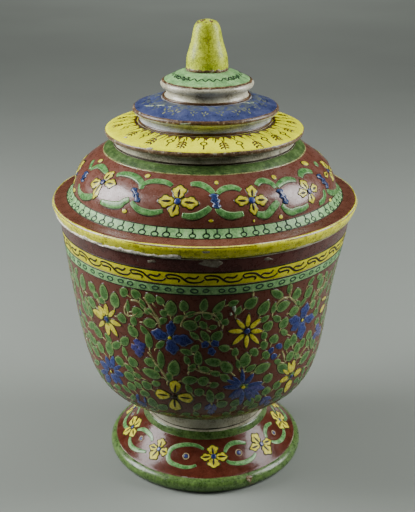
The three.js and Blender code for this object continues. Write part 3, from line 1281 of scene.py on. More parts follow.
@dataclass
class TurnedPiece:
    """A piece thrown on the wheel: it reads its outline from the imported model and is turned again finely.

    A band's edges stray in WAVES round the jar; across, it has points every BAND_STEP, and its edge rises
    within a LIP, over a SHOULDER that lies at a share of the lip and of the rise. A worn edge has a point
    every WEAR_STEP radians, a scar SCAR_POINTS round its border.
    """

    node: str
    body: Body
    glaze: Enamel = PORCELAIN
    slot: Slot = Slot.WHITE
    softening: float = 0.5 * MM
    coat_rise: float = 0.1 * MM
    face: TurnedFace = field(init=False)

    WAVES: ClassVar[tuple[int, ...]] = (3, 5, 8, 13, 21)
    BAND_STEP: ClassVar[float] = 0.9 * MM
    LIP: ClassVar[float] = 0.25 * MM
    SHOULDER: ClassVar[tuple[float, float]] = (0.4, 0.6)
    WEAR_STEP: ClassVar[float] = 0.02
    SCAR_POINTS: ClassVar[int] = 12

    def __post_init__(self) -> None:
        """Cut and soften the outline."""
        outline, self.closed = section_of(self.node)
        self.outline = softened(outline, self.closed, self.softening)
        self.face = TurnedFace.of(self.outline, self.closed)
        self.guide = self.face.curve(f"{self.node}_guide")

    def dress(self, piece: Object, enamel: Enamel) -> Object:
        """Finish one piece of this part: settle it, shade it, and let it ride on its body.

        Args:
            piece: The piece.
            enamel: Its finish.

        Returns:
            The piece.
        """
        THROWN.settle(piece.data)
        piece.data.materials.clear()
        piece.data.materials.append(enamel.material())
        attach(piece, self.body.value)
        LOG.info("%s: %d faces", piece.name, len(piece.data.polygons))
        return piece

    def make(self) -> None:
        """Turn the glazed piece itself, which stands for its node, and enamel it."""
        piece = put(f"{self.node}_shell", lathe(f"{self.node}_shell", self.outline, self.closed))
        self.dress(piece, self.glaze)
        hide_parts(self.node)
        self.enamel()
        bpy.data.objects.remove(self.guide)

    def enamel(self) -> None:
        """Lay the piece's enamels; one that has none stays plain."""

    def band(self, name: str, low: float, high: float, enamel: Enamel, slot: Slot, rise: float | None = None,
             waver: float = 0.0, seed: int = 1) -> Object:
        """Lay a coat of enamel all round, between two runs.

        Args:
            name: The piece's name.
            low: Lower run.
            high: Upper run.
            enamel: Its finish.
            slot: Not used.
            rise: Its thickness over the glaze.
            waver: How far its edges stray.
            seed: Seed of the straying.

        Returns:
            The band.
        """
        rise = self.coat_rise if rise is None else rise
        chance = random.Random(seed)
        angles = np.arange(LATHE_STEPS) * FULL_TURN / LATHE_STEPS
        edges = []
        for base in (low, high):
            stray = np.zeros(LATHE_STEPS)
            for waves in self.WAVES:
                stray += chance.uniform(0.2, 1) * np.sin(waves * angles + chance.uniform(0, FULL_TURN)) / 3
            edges.append(base + waver * stray)
        across = max(3, int((high - low) / self.BAND_STEP))
        lip = min(self.LIP, (high - low) / 4) / (high - low)
        inward, upward = self.SHOULDER
        shares = np.concatenate([[0, lip * inward], np.linspace(lip, 1 - lip, across), [1 - lip * inward, 1]])
        rises = np.concatenate([[0, upward], np.ones(across), [upward, 0]]) * rise
        shares = np.concatenate([shares, shares[::-1]])
        rises = np.concatenate([rises, np.full(len(rises), -SINK)])
        inset = np.clip(np.minimum(shares, 1 - shares) * 2, 0, 1) * (rises > 0)
        runs = edges[0][:, None] + (edges[1] - edges[0])[:, None] * shares[None, :]
        runs = np.clip(runs, 0, self.face.length)
        points = self.face.lifted(np.broadcast_to(angles[:, None], runs.shape), runs,
                                  np.broadcast_to(rises[None, :], runs.shape))
        piece = put(name, revolved(name, points, inset=inset))
        return self.dress(piece, enamel)

    def motif(self, name: str, relief: Relief, places: Sequence[Place], enamel: Enamel, slot: Slot,
              seed: int = 3, tree: NodeTree | None = None, **values: float) -> Object:
        """Lay one motif on many places.

        Args:
            name: The piece's name.
            relief: The motif.
            places: Its places.
            enamel: Its finish.
            slot: Not used.
            seed: Seed of its tints.
            tree: Another tree than the one that puts it on the places.
            values: That tree's own inputs by name.

        Returns:
            The piece.
        """
        shape = put(f"{name}_motif", relief.mesh(f"{name}_motif"))
        piece = grown(name, tree or Wrap.motifs(), points_mesh(f"{name}_points", places),
                      {"Motif": shape, "Face": self.guide, "Enamel": enamel.material(), "Seed": seed,
                       **values})
        bpy.data.objects.remove(shape)
        return self.dress(piece, enamel)

    def ring(self, name: str, relief: Relief, count: int, run: float, enamel: Enamel, slot: Slot,
             first: float = 0.0, unevenness: float = 0.08, seed: int = 5) -> Object:
        """Repeat one motif evenly round the face.

        Args:
            name: The piece's name.
            relief: The motif.
            count: How often it is repeated.
            run: Its run.
            enamel: Its finish.
            slot: Not used.
            first: Angle of the first one.
            unevenness: How far each strays, as a share of the spacing.
            seed: Seed of the straying and of the tints.

        Returns:
            The piece.
        """
        values = {"Count": count, "Run": run, "First Angle": first, "Unevenness": unevenness}
        return self.motif(name, relief, [Place(0, 0)], enamel, slot, seed, Wrap.rings(), **values)

    def strokes(self, name: str, relief: Relief, enamel: Enamel, slot: Slot) -> Object:
        """Lay strokes drawn in angle and run.

        Args:
            name: The piece's name.
            relief: The strokes.
            enamel: Their finish.
            slot: Not used.

        Returns:
            The piece.
        """
        piece = grown(name, Wrap.strokes(), relief.mesh(name),
                      {"Face": self.guide, "Enamel": enamel.material()})
        return self.dress(piece, enamel)

    def between(self, start: tuple[float, float], end: tuple[float, float], width: float,
                longest: float = 10 * MM) -> Place:
        """Find where a motif of unit size lies between two pixels of the photograph.

        Args:
            start: Pixel of its foot.
            end: Pixel of its tip.
            width: Its real width.
            longest: The most that it may be long.

        Returns:
            The place.
        """
        a, b = PHOTO.cast(*start, self.face), PHOTO.cast(*end, self.face)
        run = (a[1] + b[1]) / 2
        across, along = (b[0] - a[0]) * float(self.face.radius(run)), b[1] - a[1]
        length = min(math.hypot(across, along), longest)
        return Place((a[0] + b[0]) / 2, run, math.atan2(along, across) - math.pi / 2, width, length)

    def painted(self, start: tuple[float, float], end: tuple[float, float], width_px: float,
                least: float = 1.4 * MM, most: float = 5.8 * MM) -> Place:
        """Find the place of a motif whose width too is measured in the photograph.

        Args:
            start: Pixel of its foot.
            end: Pixel of its tip.
            width_px: Its width in pixels, square to its length.
            least: The least real width.
            most: The greatest real width.

        Returns:
            The place.
        """
        foot, tip = Vector(start), Vector(end)
        aside = Vector((foot.y - tip.y, tip.x - foot.x)).normalized() * width_px / 2
        middle = (foot + tip) / 2
        a, b = (PHOTO.cast(*(middle + side * aside), self.face) for side in (-1, 1))
        real = math.hypot((a[0] - b[0]) * float(self.face.radius(a[1])), a[1] - b[1])
        return self.between(start, end, min(max(real, least), most))

    def trace(self, pixels: Path) -> Path:
        """Return the smooth path of angles and runs that a row of pixels shows."""
        return smooth_path([PHOTO.cast(x, y, self.face) for x, y in pixels])

    def petals(self, flowers: Sequence["Flower"], foot_px: float,
               fullness: float = 1.0) -> tuple[list[Place], list[Place]]:
        """Find the petals and hearts of flowers that the photograph shows.

        Args:
            flowers: The flowers.
            foot_px: How far from its flower's middle each petal starts.
            fullness: How much wider the petals are than their traced tips.

        Returns:
            Places of the petals and of the hearts.
        """
        petals, hearts = [], []
        for flower in flowers:
            for x, y, width in flower.tips:
                share = foot_px / math.hypot(x - flower.middle[0], y - flower.middle[1])
                petals.append(self.painted(toward(flower.middle, (x, y), share), (x, y), width * fullness,
                                           most=7 * MM))
            if flower.heart:
                hearts.append(Place(*PHOTO.cast(*flower.middle, self.face), 0, flower.heart, flower.heart))
        return petals, hearts

    def worn_edge(self, name: str, run: float, reach: tuple[float, float], width: float, enamel: Enamel,
                  rise: float, seed: int = 15) -> Object:
        """Bare an edge along a stretch, in a ragged line that comes and goes.

        Args:
            name: The piece's name.
            run: Its run.
            reach: The angles that it runs between.
            width: Its greatest width.
            enamel: What the wear bares.
            rise: How far it stands above the face.
            seed: Seed of the raggedness.

        Returns:
            The line.
        """
        chance = random.Random(seed)
        count = int((reach[1] - reach[0]) / self.WEAR_STEP)
        path = [(reach[0] + self.WEAR_STEP * k, run + chance.uniform(-0.12, 0.12) * width)
                for k in range(count)]
        widths = [width * max(0.15, 0.62 + 0.3 * math.sin(k * 0.37) + chance.uniform(-0.3, 0.2))
                  for k in range(count)]
        return self.strokes(name, Relief().ribbon(path, widths, rise, self.face.radius), enamel, Slot.WHITE)

    def scars(self, name: str, spots: Rows, enamel: Enamel, slot: Slot, rise: float,
              seed: int = 17) -> Object:
        """Lay irregular patches of wear where the photograph shows them.

        Args:
            name: The piece's name.
            spots: Rows of column, row, half width and half height in pixels.
            enamel: What the wear bares.
            slot: Not used.
            rise: How far it stands above the face.
            seed: Seed of the ragged borders.

        Returns:
            The patches.
        """
        chance = random.Random(seed)
        relief = Relief()
        for x, y, half, tall in spots:
            turns = [FULL_TURN * k / self.SCAR_POINTS for k in range(self.SCAR_POINTS)]
            ragged = [chance.uniform(0.6, 1.15) for _ in turns]
            rim = [(x + half * share * math.cos(turn), y - tall * share * math.sin(turn))
                   for turn, share in zip(turns, ragged)]
            relief.pad([PHOTO.cast(*spot, self.face) for spot in rim], rise, crown=((1, 0.6), (0.75, 1)))
        return self.strokes(name, relief, enamel, slot)


@dataclass(frozen=True)
class Flower:
    """A painted flower: its middle and its petals' tips as pixels of the photograph, each with its width."""

    middle: tuple[float, float]
    tips: tuple[tuple[float, float, float], ...]
    heart: float


def unit_leaf(skew: float = 0.85, rise: float = 0.15 * MM, blunt: float = 0.8) -> Relief:
    """Draw a leaf or petal of unit length and width; the lower blunt is, the rounder its ends."""
    return Relief().pad(leaf_outline(1.0, 1.0, skew, blunt=blunt), rise)


def unit_disc(rise: float = 0.25 * MM) -> Relief:
    """Draw a round dab of unit width."""
    return Relief().pad(loop(0.5, 0.5, steps=10), rise)


def unit_petal(rise: float = 0.18 * MM, lobed: bool = False) -> Relief:
    """Draw a petal of unit length and width, narrow at its foot and pointed at its tip.

    Args:
        rise: Its greatest height.
        lobed: Whether its sides are lobed.

    Returns:
        The petal.
    """
    half = [(0.16, -0.5), (0.36, -0.26), (0.5, 0.04), (0.48, 0.26), (0.28, 0.4)]
    if lobed:
        half = [(0.15, -0.5), (0.36, -0.32), (0.34, -0.18), (0.5, 0.0), (0.47, 0.18), (0.27, 0.28),
                (0.16, 0.42)]
    return Relief().pad(half + [(0.0, 0.5)] + [(-x, y) for x, y in reversed(half)], rise)


def unit_knot(rise: float) -> Relief:
    """Draw three dabs run together, one over the other, of unit length and width."""
    half = [(0.12, -0.5), (0.5, -0.38), (0.26, -0.19), (0.5, 0.0), (0.22, 0.2), (0.46, 0.36), (0.12, 0.5)]
    return Relief().pad(half + [(-x * 0.9, y + 0.06) for x, y in reversed(half)], rise)


def loop(radius: float, height: float, middle: float = 0.0, steps: int = 12) -> Path:
    """Return an oval path about a point above the origin."""
    return [(radius * math.cos(FULL_TURN * k / steps), middle + height * math.sin(FULL_TURN * k / steps))
            for k in range(steps)]


def toward(middle: tuple[float, float], tip: tuple[float, ...], share: float) -> tuple[float, float]:
    """Return the point at a share of the way from a flower's middle to a tip."""
    return middle[0] + (tip[0] - middle[0]) * share, middle[1] + (tip[1] - middle[1]) * share


# Leaves on the bowl as the photograph shows them: column, row, length and width in pixels, slant in degrees.
PAINTED_LEAVES = (
    (83, 282, 16, 6, 92), (77, 280, 16, 3, 110), (92, 287, 13, 5, 122), (96, 295, 9, 4, 115),
    (104, 292, 17, 9, 95), (115, 300, 16, 9, 88), (124, 292, 10, 8, 140), (136, 294, 13, 7, 135),
    (92, 302, 13, 5, 132), (86, 308, 18, 3, 116), (91, 311, 12, 3, 98), (122, 318, 10, 7, 165),
    (128, 306, 13, 3, 90), (133, 331, 15, 7, 118), (84, 322, 12, 4, 115), (93, 325, 10, 7, 20),
    (98, 331, 17, 6, 130), (92, 337, 16, 3, 118), (125, 341, 10, 8, 45), (138, 312, 12, 10, 0),
    (110, 348, 15, 9, 90), (117, 345, 10, 7, 30), (101, 347, 14, 5, 122), (97, 351, 13, 4, 125),
    (89, 347, 18, 5, 122), (95, 341, 8, 3, 125), (96, 363, 9, 5, 20), (120, 361, 11, 7, 155),
    (133, 362, 13, 8, 128), (130, 376, 13, 7, 155), (132, 386, 11, 7, 125), (111, 386, 11, 5, 140),
    (123, 394, 11, 6, 150), (134, 397, 6, 4, 70), (150, 298, 12, 8, 120), (171, 308, 16, 12, 90),
    (164, 313, 9, 6, 160), (184, 306, 12, 8, 95), (190, 325, 17, 9, 170), (150, 323, 14, 8, 175),
    (149, 340, 18, 6, 95), (198, 318, 9, 4, 50), (204, 305, 14, 7, 80), (219, 307, 18, 6, 48),
    (225, 322, 8, 6, 60), (251, 303, 17, 10, 40), (213, 327, 9, 4, 10), (205, 336, 14, 6, 125),
    (217, 336, 14, 8, 48), (264, 308, 18, 11, 60), (277, 294, 14, 7, 150), (290, 288, 12, 4, 85),
    (297, 294, 12, 8, 88), (283, 306, 16, 8, 25), (274, 308, 12, 4, 75), (294, 311, 12, 6, 25),
    (298, 303, 6, 4, 60), (268, 326, 13, 7, 45), (284, 323, 14, 10, 60), (309, 292, 16, 7, 62),
    (321, 283, 13, 5, 75), (326, 285, 10, 3, 70), (313, 304, 9, 5, 50), (316, 312, 11, 4, 65),
    (317, 321, 8, 4, 75), (309, 335, 11, 6, 70), (293, 340, 12, 6, 85), (274, 339, 11, 8, 60),
    (254, 352, 9, 8, 45), (264, 345, 9, 7, 30), (266, 355, 9, 7, 40), (245, 360, 16, 10, 80),
    (262, 368, 19, 9, 25), (238, 364, 10, 4, 100), (235, 352, 9, 6, 95), (224, 348, 12, 6, 170),
    (213, 362, 18, 7, 170), (226, 367, 15, 9, 130), (204, 369, 13, 5, 165), (198, 358, 16, 7, 95),
    (187, 360, 10, 5, 110), (190, 380, 17, 7, 8), (203, 381, 12, 8, 165), (214, 385, 10, 5, 10),
    (199, 392, 10, 7, 150), (210, 396, 14, 7, 100), (220, 396, 9, 7, 60), (222, 404, 12, 6, 20),
    (235, 403, 9, 6, 60), (249, 402, 12, 6, 45), (258, 398, 8, 6, 30), (253, 406, 9, 5, 50),
    (290, 356, 12, 7, 50), (287, 344, 12, 5, 85), (297, 348, 10, 5, 95), (302, 343, 12, 4, 65),
    (312, 342, 13, 5, 100), (304, 357, 20, 6, 48), (310, 360, 15, 3, 55), (282, 368, 14, 9, 150),
    (307, 371, 12, 5, 60), (268, 378, 12, 7, 45), (277, 385, 12, 6, 45), (279, 392, 12, 5, 40),
    (266, 391, 9, 6, 80), (277, 398, 12, 7, 35), (288, 397, 8, 4, 40), (150, 362, 13, 7, 160),
    (161, 359, 20, 6, 92), (152, 373, 28, 9, 158), (174, 368, 20, 12, 80), (147, 385, 13, 6, 140),
    (145, 393, 9, 6, 120), (153, 402, 11, 6, 110), (163, 407, 9, 6, 30),
)
# Stems on the bowl, each a row of pixels of the photograph.
PAINTED_STEMS = (
    ((131, 300), (137, 301), (143, 305), (148, 311), (153, 315), (158, 321), (161, 328)),
    ((144, 297), (148, 303), (151, 308), (156, 315), (159, 320), (160, 327)),
    ((148, 352), (152, 357), (155, 362), (160, 369), (165, 376), (169, 382)),
    ((153, 360), (158, 366), (163, 372), (168, 379)),
    ((181, 327), (183, 320), (189, 315), (198, 313), (207, 313), (216, 316), (221, 323)),
    ((127, 303), (125, 308), (125.5, 313), (129, 316), (134, 315.5), (138, 312)),
    ((291, 284), (291, 291), (289, 297), (282, 299), (277, 304), (275, 307)),
    ((289, 297), (294, 301), (297, 306)),
    ((327, 276), (323, 287), (318, 290), (314, 298), (309, 306)),
    ((320, 290), (313, 300)),
    ((188, 369), (195, 369), (202, 372), (210, 374)),
    ((85, 291), (88, 295)),
    ((86, 298), (90, 304)),
    ((280, 354), (277, 358)),
    ((282, 351), (284, 357), (284, 361)),
    ((307, 346), (303, 351), (298, 359)),
    ((97, 299), (100, 304)),
    ((253, 291), (253, 297)),
    ((296, 354), (297, 358), (295, 362), (292, 367)),
)


@dataclass(frozen=True)
class FlowerStyle:
    """How one kind of flower is painted."""

    petal: Enamel
    petal_slot: Slot
    heart: Enamel
    heart_slot: Slot
    spade: bool = False
    lobed: bool = False
    slit: bool = False
    foot_px: float = 2.2


FLOWER_STYLES = {
    "yellow": FlowerStyle(LEMON, Slot.LEMON, COBALT, Slot.COBALT),
    "quatrefoil": FlowerStyle(LEMON, Slot.LEMON, BLACK_LINE, Slot.COBALT, spade=True, slit=True),
    "blue": FlowerStyle(COBALT, Slot.COBALT, LEMON, Slot.LEMON, spade=True, lobed=True, foot_px=1.2),
    "star": FlowerStyle(COBALT, Slot.COBALT, LEMON, Slot.LEMON),
    "violet": FlowerStyle(VIOLET, Slot.COBALT, LEMON, Slot.LEMON, spade=True, lobed=True, foot_px=0.3),
}
# Flowers on the bowl, by kind.
BOWL_FLOWERS = {
    "yellow": (
        Flower((107, 319), ((106, 302, 5), (98, 304, 6), (92, 309, 6), (99, 327, 5), (109, 337, 5),
            (119, 338, 5), (123, 326, 5), (116, 309, 5)), 2.8 * MM),
        Flower((247, 331), ((249, 312, 5.6), (262, 317, 5.6), (264, 331, 5.6), (260, 345, 5.6),
            (246, 350, 5.6), (231, 346, 5.6), (226, 331, 5.6), (235, 318, 5.6)), 2.8 * MM),
        Flower((291, 376), ((294, 358, 4.6), (302, 369, 4.6), (278, 382, 4.8), (284, 394, 4.8),
            (282, 369, 4.4), (288, 361, 4)), 2.0 * MM),
        Flower((323, 303), ((325, 296, 4), (322, 312, 4)), 0.0),
    ),
    "quatrefoil": (
        Flower((174, 396), ((176, 379, 14), (154, 393, 13), (195, 399, 13), (176, 411, 13)), 2.2 * MM),
    ),
    "blue": (
        Flower((170, 337.6), ((172, 320, 11), (150.5, 331.5, 12), (194, 342, 13),
            (174, 355.5, 14)), 1.9 * MM),
        Flower((302, 320), ((308, 302, 8), (315, 317, 7), (288, 320, 9), (290, 331, 7),
            (301, 340, 9)), 1.8 * MM),
        Flower((210, 346), ((219, 341, 9), (213, 356, 9), (201, 343, 9)), 0.0),
    ),
    "star": (
        Flower((112, 371), ((106, 355, 4.4), (100, 361, 4.4), (122, 365, 4.4), (124, 385, 4.6),
            (117, 384, 4.4), (107, 384, 4.4), (114, 355, 4.4), (101, 372, 4), (125, 375, 4.6)), 1.7 * MM),
        Flower((243, 387), ((222, 387, 4.8), (228, 398, 4.8), (242, 368, 4.8), (232, 376, 4.6),
            (251, 403, 4.8), (240, 406, 4.8), (254, 373, 4.8), (264, 382, 4.8), (260, 395, 4.8),
            (225, 379, 4.4)), 2.2 * MM),
        Flower((276, 351), ((281, 343, 7), (268, 350, 7), (272, 360, 6)), 0.0),
        Flower((142, 399), ((136, 396, 6), (147, 401, 6), (143, 406, 6)), 0.0),
        Flower((79, 308), ((76, 301, 4), (80, 316, 5)), 0.0),
    ),
    "violet": (
        Flower((138, 347), ((131, 348, 8), (137, 338, 8), (146, 344, 8), (140, 358, 8), (145, 352, 7)), 0.0),
        Flower((243, 387), ((268, 388, 8), (256, 399, 8), (231, 400, 8)), 0.0),
        Flower((211, 408), ((205, 406, 8), (217, 407, 8), (211, 415, 8)), 0.0),
        Flower((265, 401), ((259, 403, 8), (270, 396, 8), (268, 405, 8)), 0.0),
        Flower((316, 331), ((319, 323, 7), (314, 340, 8), (321, 331, 7)), 0.0),
    ),
}
# Flowers of the foot's chain.
FOOT_FLOWERS = (
    Flower((132.6, 427.1), ((142.5, 419.2, 5), (134.2, 416, 5.5), (122, 434.2, 5),
        (133.6, 437.5, 6)), 2.2 * MM),
    Flower((159.2, 449.2), ((149, 445.5, 6), (163.5, 437.5, 7), (168.5, 453.5, 8),
        (149.5, 459.5, 8)), 2.3 * MM),
    Flower((213.6, 456.4), ((199.5, 457.5, 6.5), (229, 456.7, 8), (211.9, 444, 10),
        (213.6, 469, 11)), 2.4 * MM),
    Flower((261.4, 444.1), ((251, 433.5, 7.5), (271.8, 440.2, 6.5), (249, 449.4, 7),
        (272.5, 454.4, 8)), 2.3 * MM),
    Flower((279.6, 419.9), ((269.3, 411.6, 5), (279.6, 412.5, 5), (290, 428.5, 5),
        (279.6, 429, 5.5)), 2.2 * MM),
)
# Green scrolls of the foot's chain, and the pixels of their eyes with the eyes' half widths.
FOOT_SCROLLS = (
    ((137.5, 429.9), (141.9, 429.2), (145.8, 430.5), (149.8, 433.8), (151.8, 437.2), (152.5, 441.1)),
    ((130.2, 437.2), (129.6, 441.1), (131.2, 445.8), (135.2, 449.1), (140.5, 450.8), (146.5, 451.8)),
    ((203.9, 449.1), (197.6, 445.8), (190.3, 444.5), (183, 444.8), (175.7, 446.5), (171.1, 449.4),
        (168.7, 453.8), (168.4, 458.4), (171.1, 462.4), (177, 465), (183.7, 467), (190.3, 467), (196.3, 465)),
    ((245.8, 443.4), (239.8, 442.4), (234.5, 442.8), (229.2, 444.8), (225.9, 448.8), (224.9, 452.7)),
    ((226.5, 460.7), (230.5, 462.7), (237.2, 463.4), (243.8, 462.7), (249.1, 460.4), (253.1, 457.4),
        (255.7, 453.4)),
    ((271.3, 422.9), (267, 425.5), (265.4, 429.5), (265.4, 434.2), (267, 437.5)),
    ((282.3, 426.9), (284, 431.5), (283.3, 436.8), (280.3, 440.8), (275.7, 442.4), (271.3, 441.4)),
)
FOOT_EYES = ((141.1, 438.6, 3.4), (186, 456.1, 3.8), (238.8, 452.7, 4.2), (273.7, 432.8, 3.2))
# Leaf arcs of the dome's garland: each a width in pixels and the pixels that it runs through.
DOME_ARCS = (
    (3.5, ((91, 169.5), (97, 166.5), (101.6, 166.2), (105, 169.5), (107.5, 173))),
    (3.5, ((80, 184), (79, 189), (81, 194), (84.5, 196.7), (90.4, 196.7), (93.3, 195.6))),
    (2.5, ((94, 160), (92.5, 163), (90.5, 169))),
    (4.5, ((117, 175), (123, 173.8), (129.6, 174.5), (135.5, 176.7), (140.5, 181), (142, 185.5),
        (141.3, 189))),
    (4.5, ((101, 201.5), (107, 203.6), (114.4, 205), (121, 204.4), (124.5, 201.5), (129.6, 199.3))),
    (4, ((141, 186), (144, 184), (149.3, 181.8), (155.8, 181), (163.8, 181.8), (168.2, 183.2),
        (172.5, 185.7))),
    (4.2, ((131.8, 201.5), (134, 205), (139, 209.5), (145.6, 212), (153, 212.7), (163, 211))),
    (4.8, ((190.7, 184.6), (195, 184), (200.2, 184.6), (205.3, 186.8), (210.4, 190.5), (214, 194))),
    (4.8, ((182, 215.2), (189.3, 216.6), (196.5, 216), (202.4, 213.4), (207.5, 210), (210.4, 207.2))),
    (4.4, ((217.6, 194), (220.5, 190.8), (225.6, 188.3), (232.2, 187.5), (237.3, 188.6), (241, 190.5))),
    (5, ((217, 208), (219.8, 211.5), (225, 214.8), (230.7, 216), (236.5, 215.5), (243.8, 213.7))),
    (4.6, ((256.4, 185.5), (259, 182), (262.5, 180.8), (267, 181.5), (272, 184), (276, 188))),
    (5.2, ((256.7, 214), (262.5, 215.4), (268.4, 214), (272.7, 208.8), (276.4, 204.5), (278.5, 201.5))),
    (4.2, ((277, 187), (280.7, 183), (285.8, 180), (291.6, 179.4), (296, 180.5))),
    (4.2, ((282, 205), (286.5, 210.3), (292.4, 212.4), (297, 210.5), (303.3, 208.8), (308.4, 205))),
    (4, ((300.4, 177.5), (301, 172.5), (305.5, 170.6), (312, 171.7))),
    (3.5, ((323, 190), (324.7, 194.3), (323.6, 200), (319.3, 203.7))),
    (3, ((315, 162), (316.4, 166))),
    (3, ((326.5, 190.6), (331.6, 192.8), (336, 191.4), (337.5, 186))),
)
# Flowers of the garland.
DOME_FLOWERS = (
    Flower((177.5, 201.5), ((156.5, 200.5, 13), (200.5, 204, 13), (181, 184, 15), (171, 218, 12)), 2.7 * MM),
    Flower((252, 200.6), ((233.5, 201, 11), (269, 200, 11.5), (251, 184.5, 11), (255, 216.5, 9)), 2.9 * MM),
    Flower((103.5, 182), ((117.5, 184.5, 9), (90.5, 184, 8), (114, 171, 7), (93, 200.5, 6)), 2.4 * MM),
    Flower((309.5, 191.5), ((297.5, 194, 9), (299, 179.5, 7), (317, 186, 9), (313, 204.5, 7)), 2.5 * MM),
    Flower((327.5, 171), ((321, 160.5, 4), (333.5, 180, 4), (334, 169, 4), (324.5, 177, 4)), 2.0 * MM),
    Flower((77.5, 174), ((84.5, 160, 4), (79, 166, 4), (74, 183, 4)), 2.0 * MM),
)
# Blue knots of the garland, each from one pixel to another with its width, and its yellow seeds.
DOME_KNOTS = ((88.5, 171, 82.5, 182, 5), (134, 187, 139, 202, 8), (213.5, 193, 217.5, 209, 11),
              (278, 188.5, 287, 204, 8), (316, 174, 328, 188, 5))
DOME_SEEDS = ((148, 176, 7, 4.5), (125, 211, 6, 5), (216.5, 183, 5, 5), (211, 221, 6, 3.5),
              (274, 177.5, 6, 5), (281, 217, 5, 5), (304.5, 163.5, 8, 4), (113.5, 173, 4, 3),
              (101, 161, 5, 3), (75, 190, 3, 5), (330, 200, 3, 4), (254, 221, 2.5, 3.5))


@dataclass
class JarFoot(TurnedPiece):
    """The splayed foot: a green roll and a green collar, and between them a chain of scrolls and flowers."""

    node: str = "jar_foot"
    body: Body = Body.JAR
    roll_top: float = 10.1 * MM
    slope_top: float = 28.0 * MM
    collar_top: float = 31.6 * MM
    side: float = math.radians(89)
    spread: float = 0.86
    gap_turns: tuple[float, float] = (math.radians(159.5), math.radians(-159.5))
    pixels_per_mm: float = 2.22
    scroll_width: float = 2.5 * MM
    scroll_rise: float = 0.17 * MM
    ring_width: float = 0.45 * MM
    ring_rise: float = 0.22 * MM
    ring_share: float = 0.8

    def enamel(self) -> None:
        """Lay the bands, then the flowers, the scrolls between them, and the chips."""
        self.band("foot_roll_green", 0.4 * MM, self.roll_top, SHADED_FOOT_GREEN, Slot.GREEN, waver=0.25 * MM,
                  seed=11)
        self.band("foot_slope_red", self.roll_top, self.slope_top, SHADED_FOOT_RED, Slot.IRON_RED, rise=0.06 * MM)
        self.band("foot_roll_line", self.roll_top, self.roll_top + 0.5 * MM, DARK_RED, Slot.IRON_RED,
                  waver=0.2 * MM, seed=12)
        self.band("foot_collar_green", self.slope_top, self.collar_top, SHADED_FOOT_GREEN, Slot.GREEN,
                  waver=0.2 * MM, seed=13)
        petals, hearts = (places_round(laid, self.side, self.spread)
                          for laid in self.petals(FOOT_FLOWERS, 1.2, 1.4))
        self.motif("foot_flower_petals", unit_petal(lobed=True), petals, LEMON_FOOT, Slot.LEMON)
        self.motif("foot_petal_slits", unit_leaf(rise=0.32 * MM),
                   [p.inner(1.1 * MM, 0.7, -0.12) for p in petals], BLACK_LINE, Slot.LEMON)
        self.motif("foot_flower_hearts", unit_disc(0.42 * MM), hearts, COBALT, Slot.COBALT)
        self.scrolls()
        self.scars("foot_roll_chips", ((249, 479, 3.5, 4), (252, 485, 2, 2)), GREY_GILT, Slot.WHITE,
                   0.16 * MM)

    def scrolls(self) -> None:
        """Paint the green scrolls between the flowers, each two about a ringed eye."""
        paths = [self.trace(pixels) for pixels in FOOT_SCROLLS]
        eyes = [(PHOTO.cast(x, y, self.face), half / self.pixels_per_mm * MM) for x, y, half in FOOT_EYES]
        gaps = [[[(a + turn, run) for a, run in path] for path in pair]
                for turn, pair in zip(self.gap_turns, (paths[:2], paths[-2:]))]
        gap_eyes = [((eyes[k][0][0] + turn, eyes[k][0][1]), eyes[k][1])
                    for turn, k in zip(self.gap_turns, (0, -1))]
        paths += [path_round(path, self.side, self.spread) for path in paths] + gaps[0] + gaps[1]
        eyes += [((math.pi + self.spread * at[0], at[1]), half) for at, half in eyes] + gap_eyes
        green, rings = Relief(), Relief()
        for path in paths:
            green.ribbon(path, tapered(len(path), self.scroll_width, 0.5), self.scroll_rise, self.face.radius)
        for (angle, run), half in eyes:
            radius = float(self.face.radius(run))
            reach = half * self.ring_share
            rings.ribbon([(angle + x / radius, run + y) for x, y in loop(reach, reach)], self.ring_width,
                         self.ring_rise, self.face.radius, closed=True)
        self.strokes("foot_scrolls", green, SCROLL_GREEN, Slot.GREEN)
        self.strokes("foot_eye_rings", rings, CREAM_LINE, Slot.PALE_GREEN)
        self.motif("foot_scroll_eyes", unit_disc(),
                   [Place(*at, 0, half * 1.2, half * 1.1) for at, half in eyes], COBALT, Slot.COBALT)


@dataclass
class JarNeck(TurnedPiece):
    """The bare glazed neck between the foot and the bowl."""

    node: str = "jar_neck"
    body: Body = Body.JAR
    glaze: Enamel = SHADED_GLAZE

    def enamel(self) -> None:
        """Draw the neck's two dark lines."""
        self.band("neck_lower_line", 0.1 * MM, 0.9 * MM, BLACK_LINE, Slot.WHITE, waver=0.15 * MM, seed=21)
        self.band("neck_upper_line", self.face.length - 0.9 * MM, self.face.length - 0.05 * MM, BROWN_LINE,
                  Slot.WHITE, waver=0.1 * MM, seed=22)


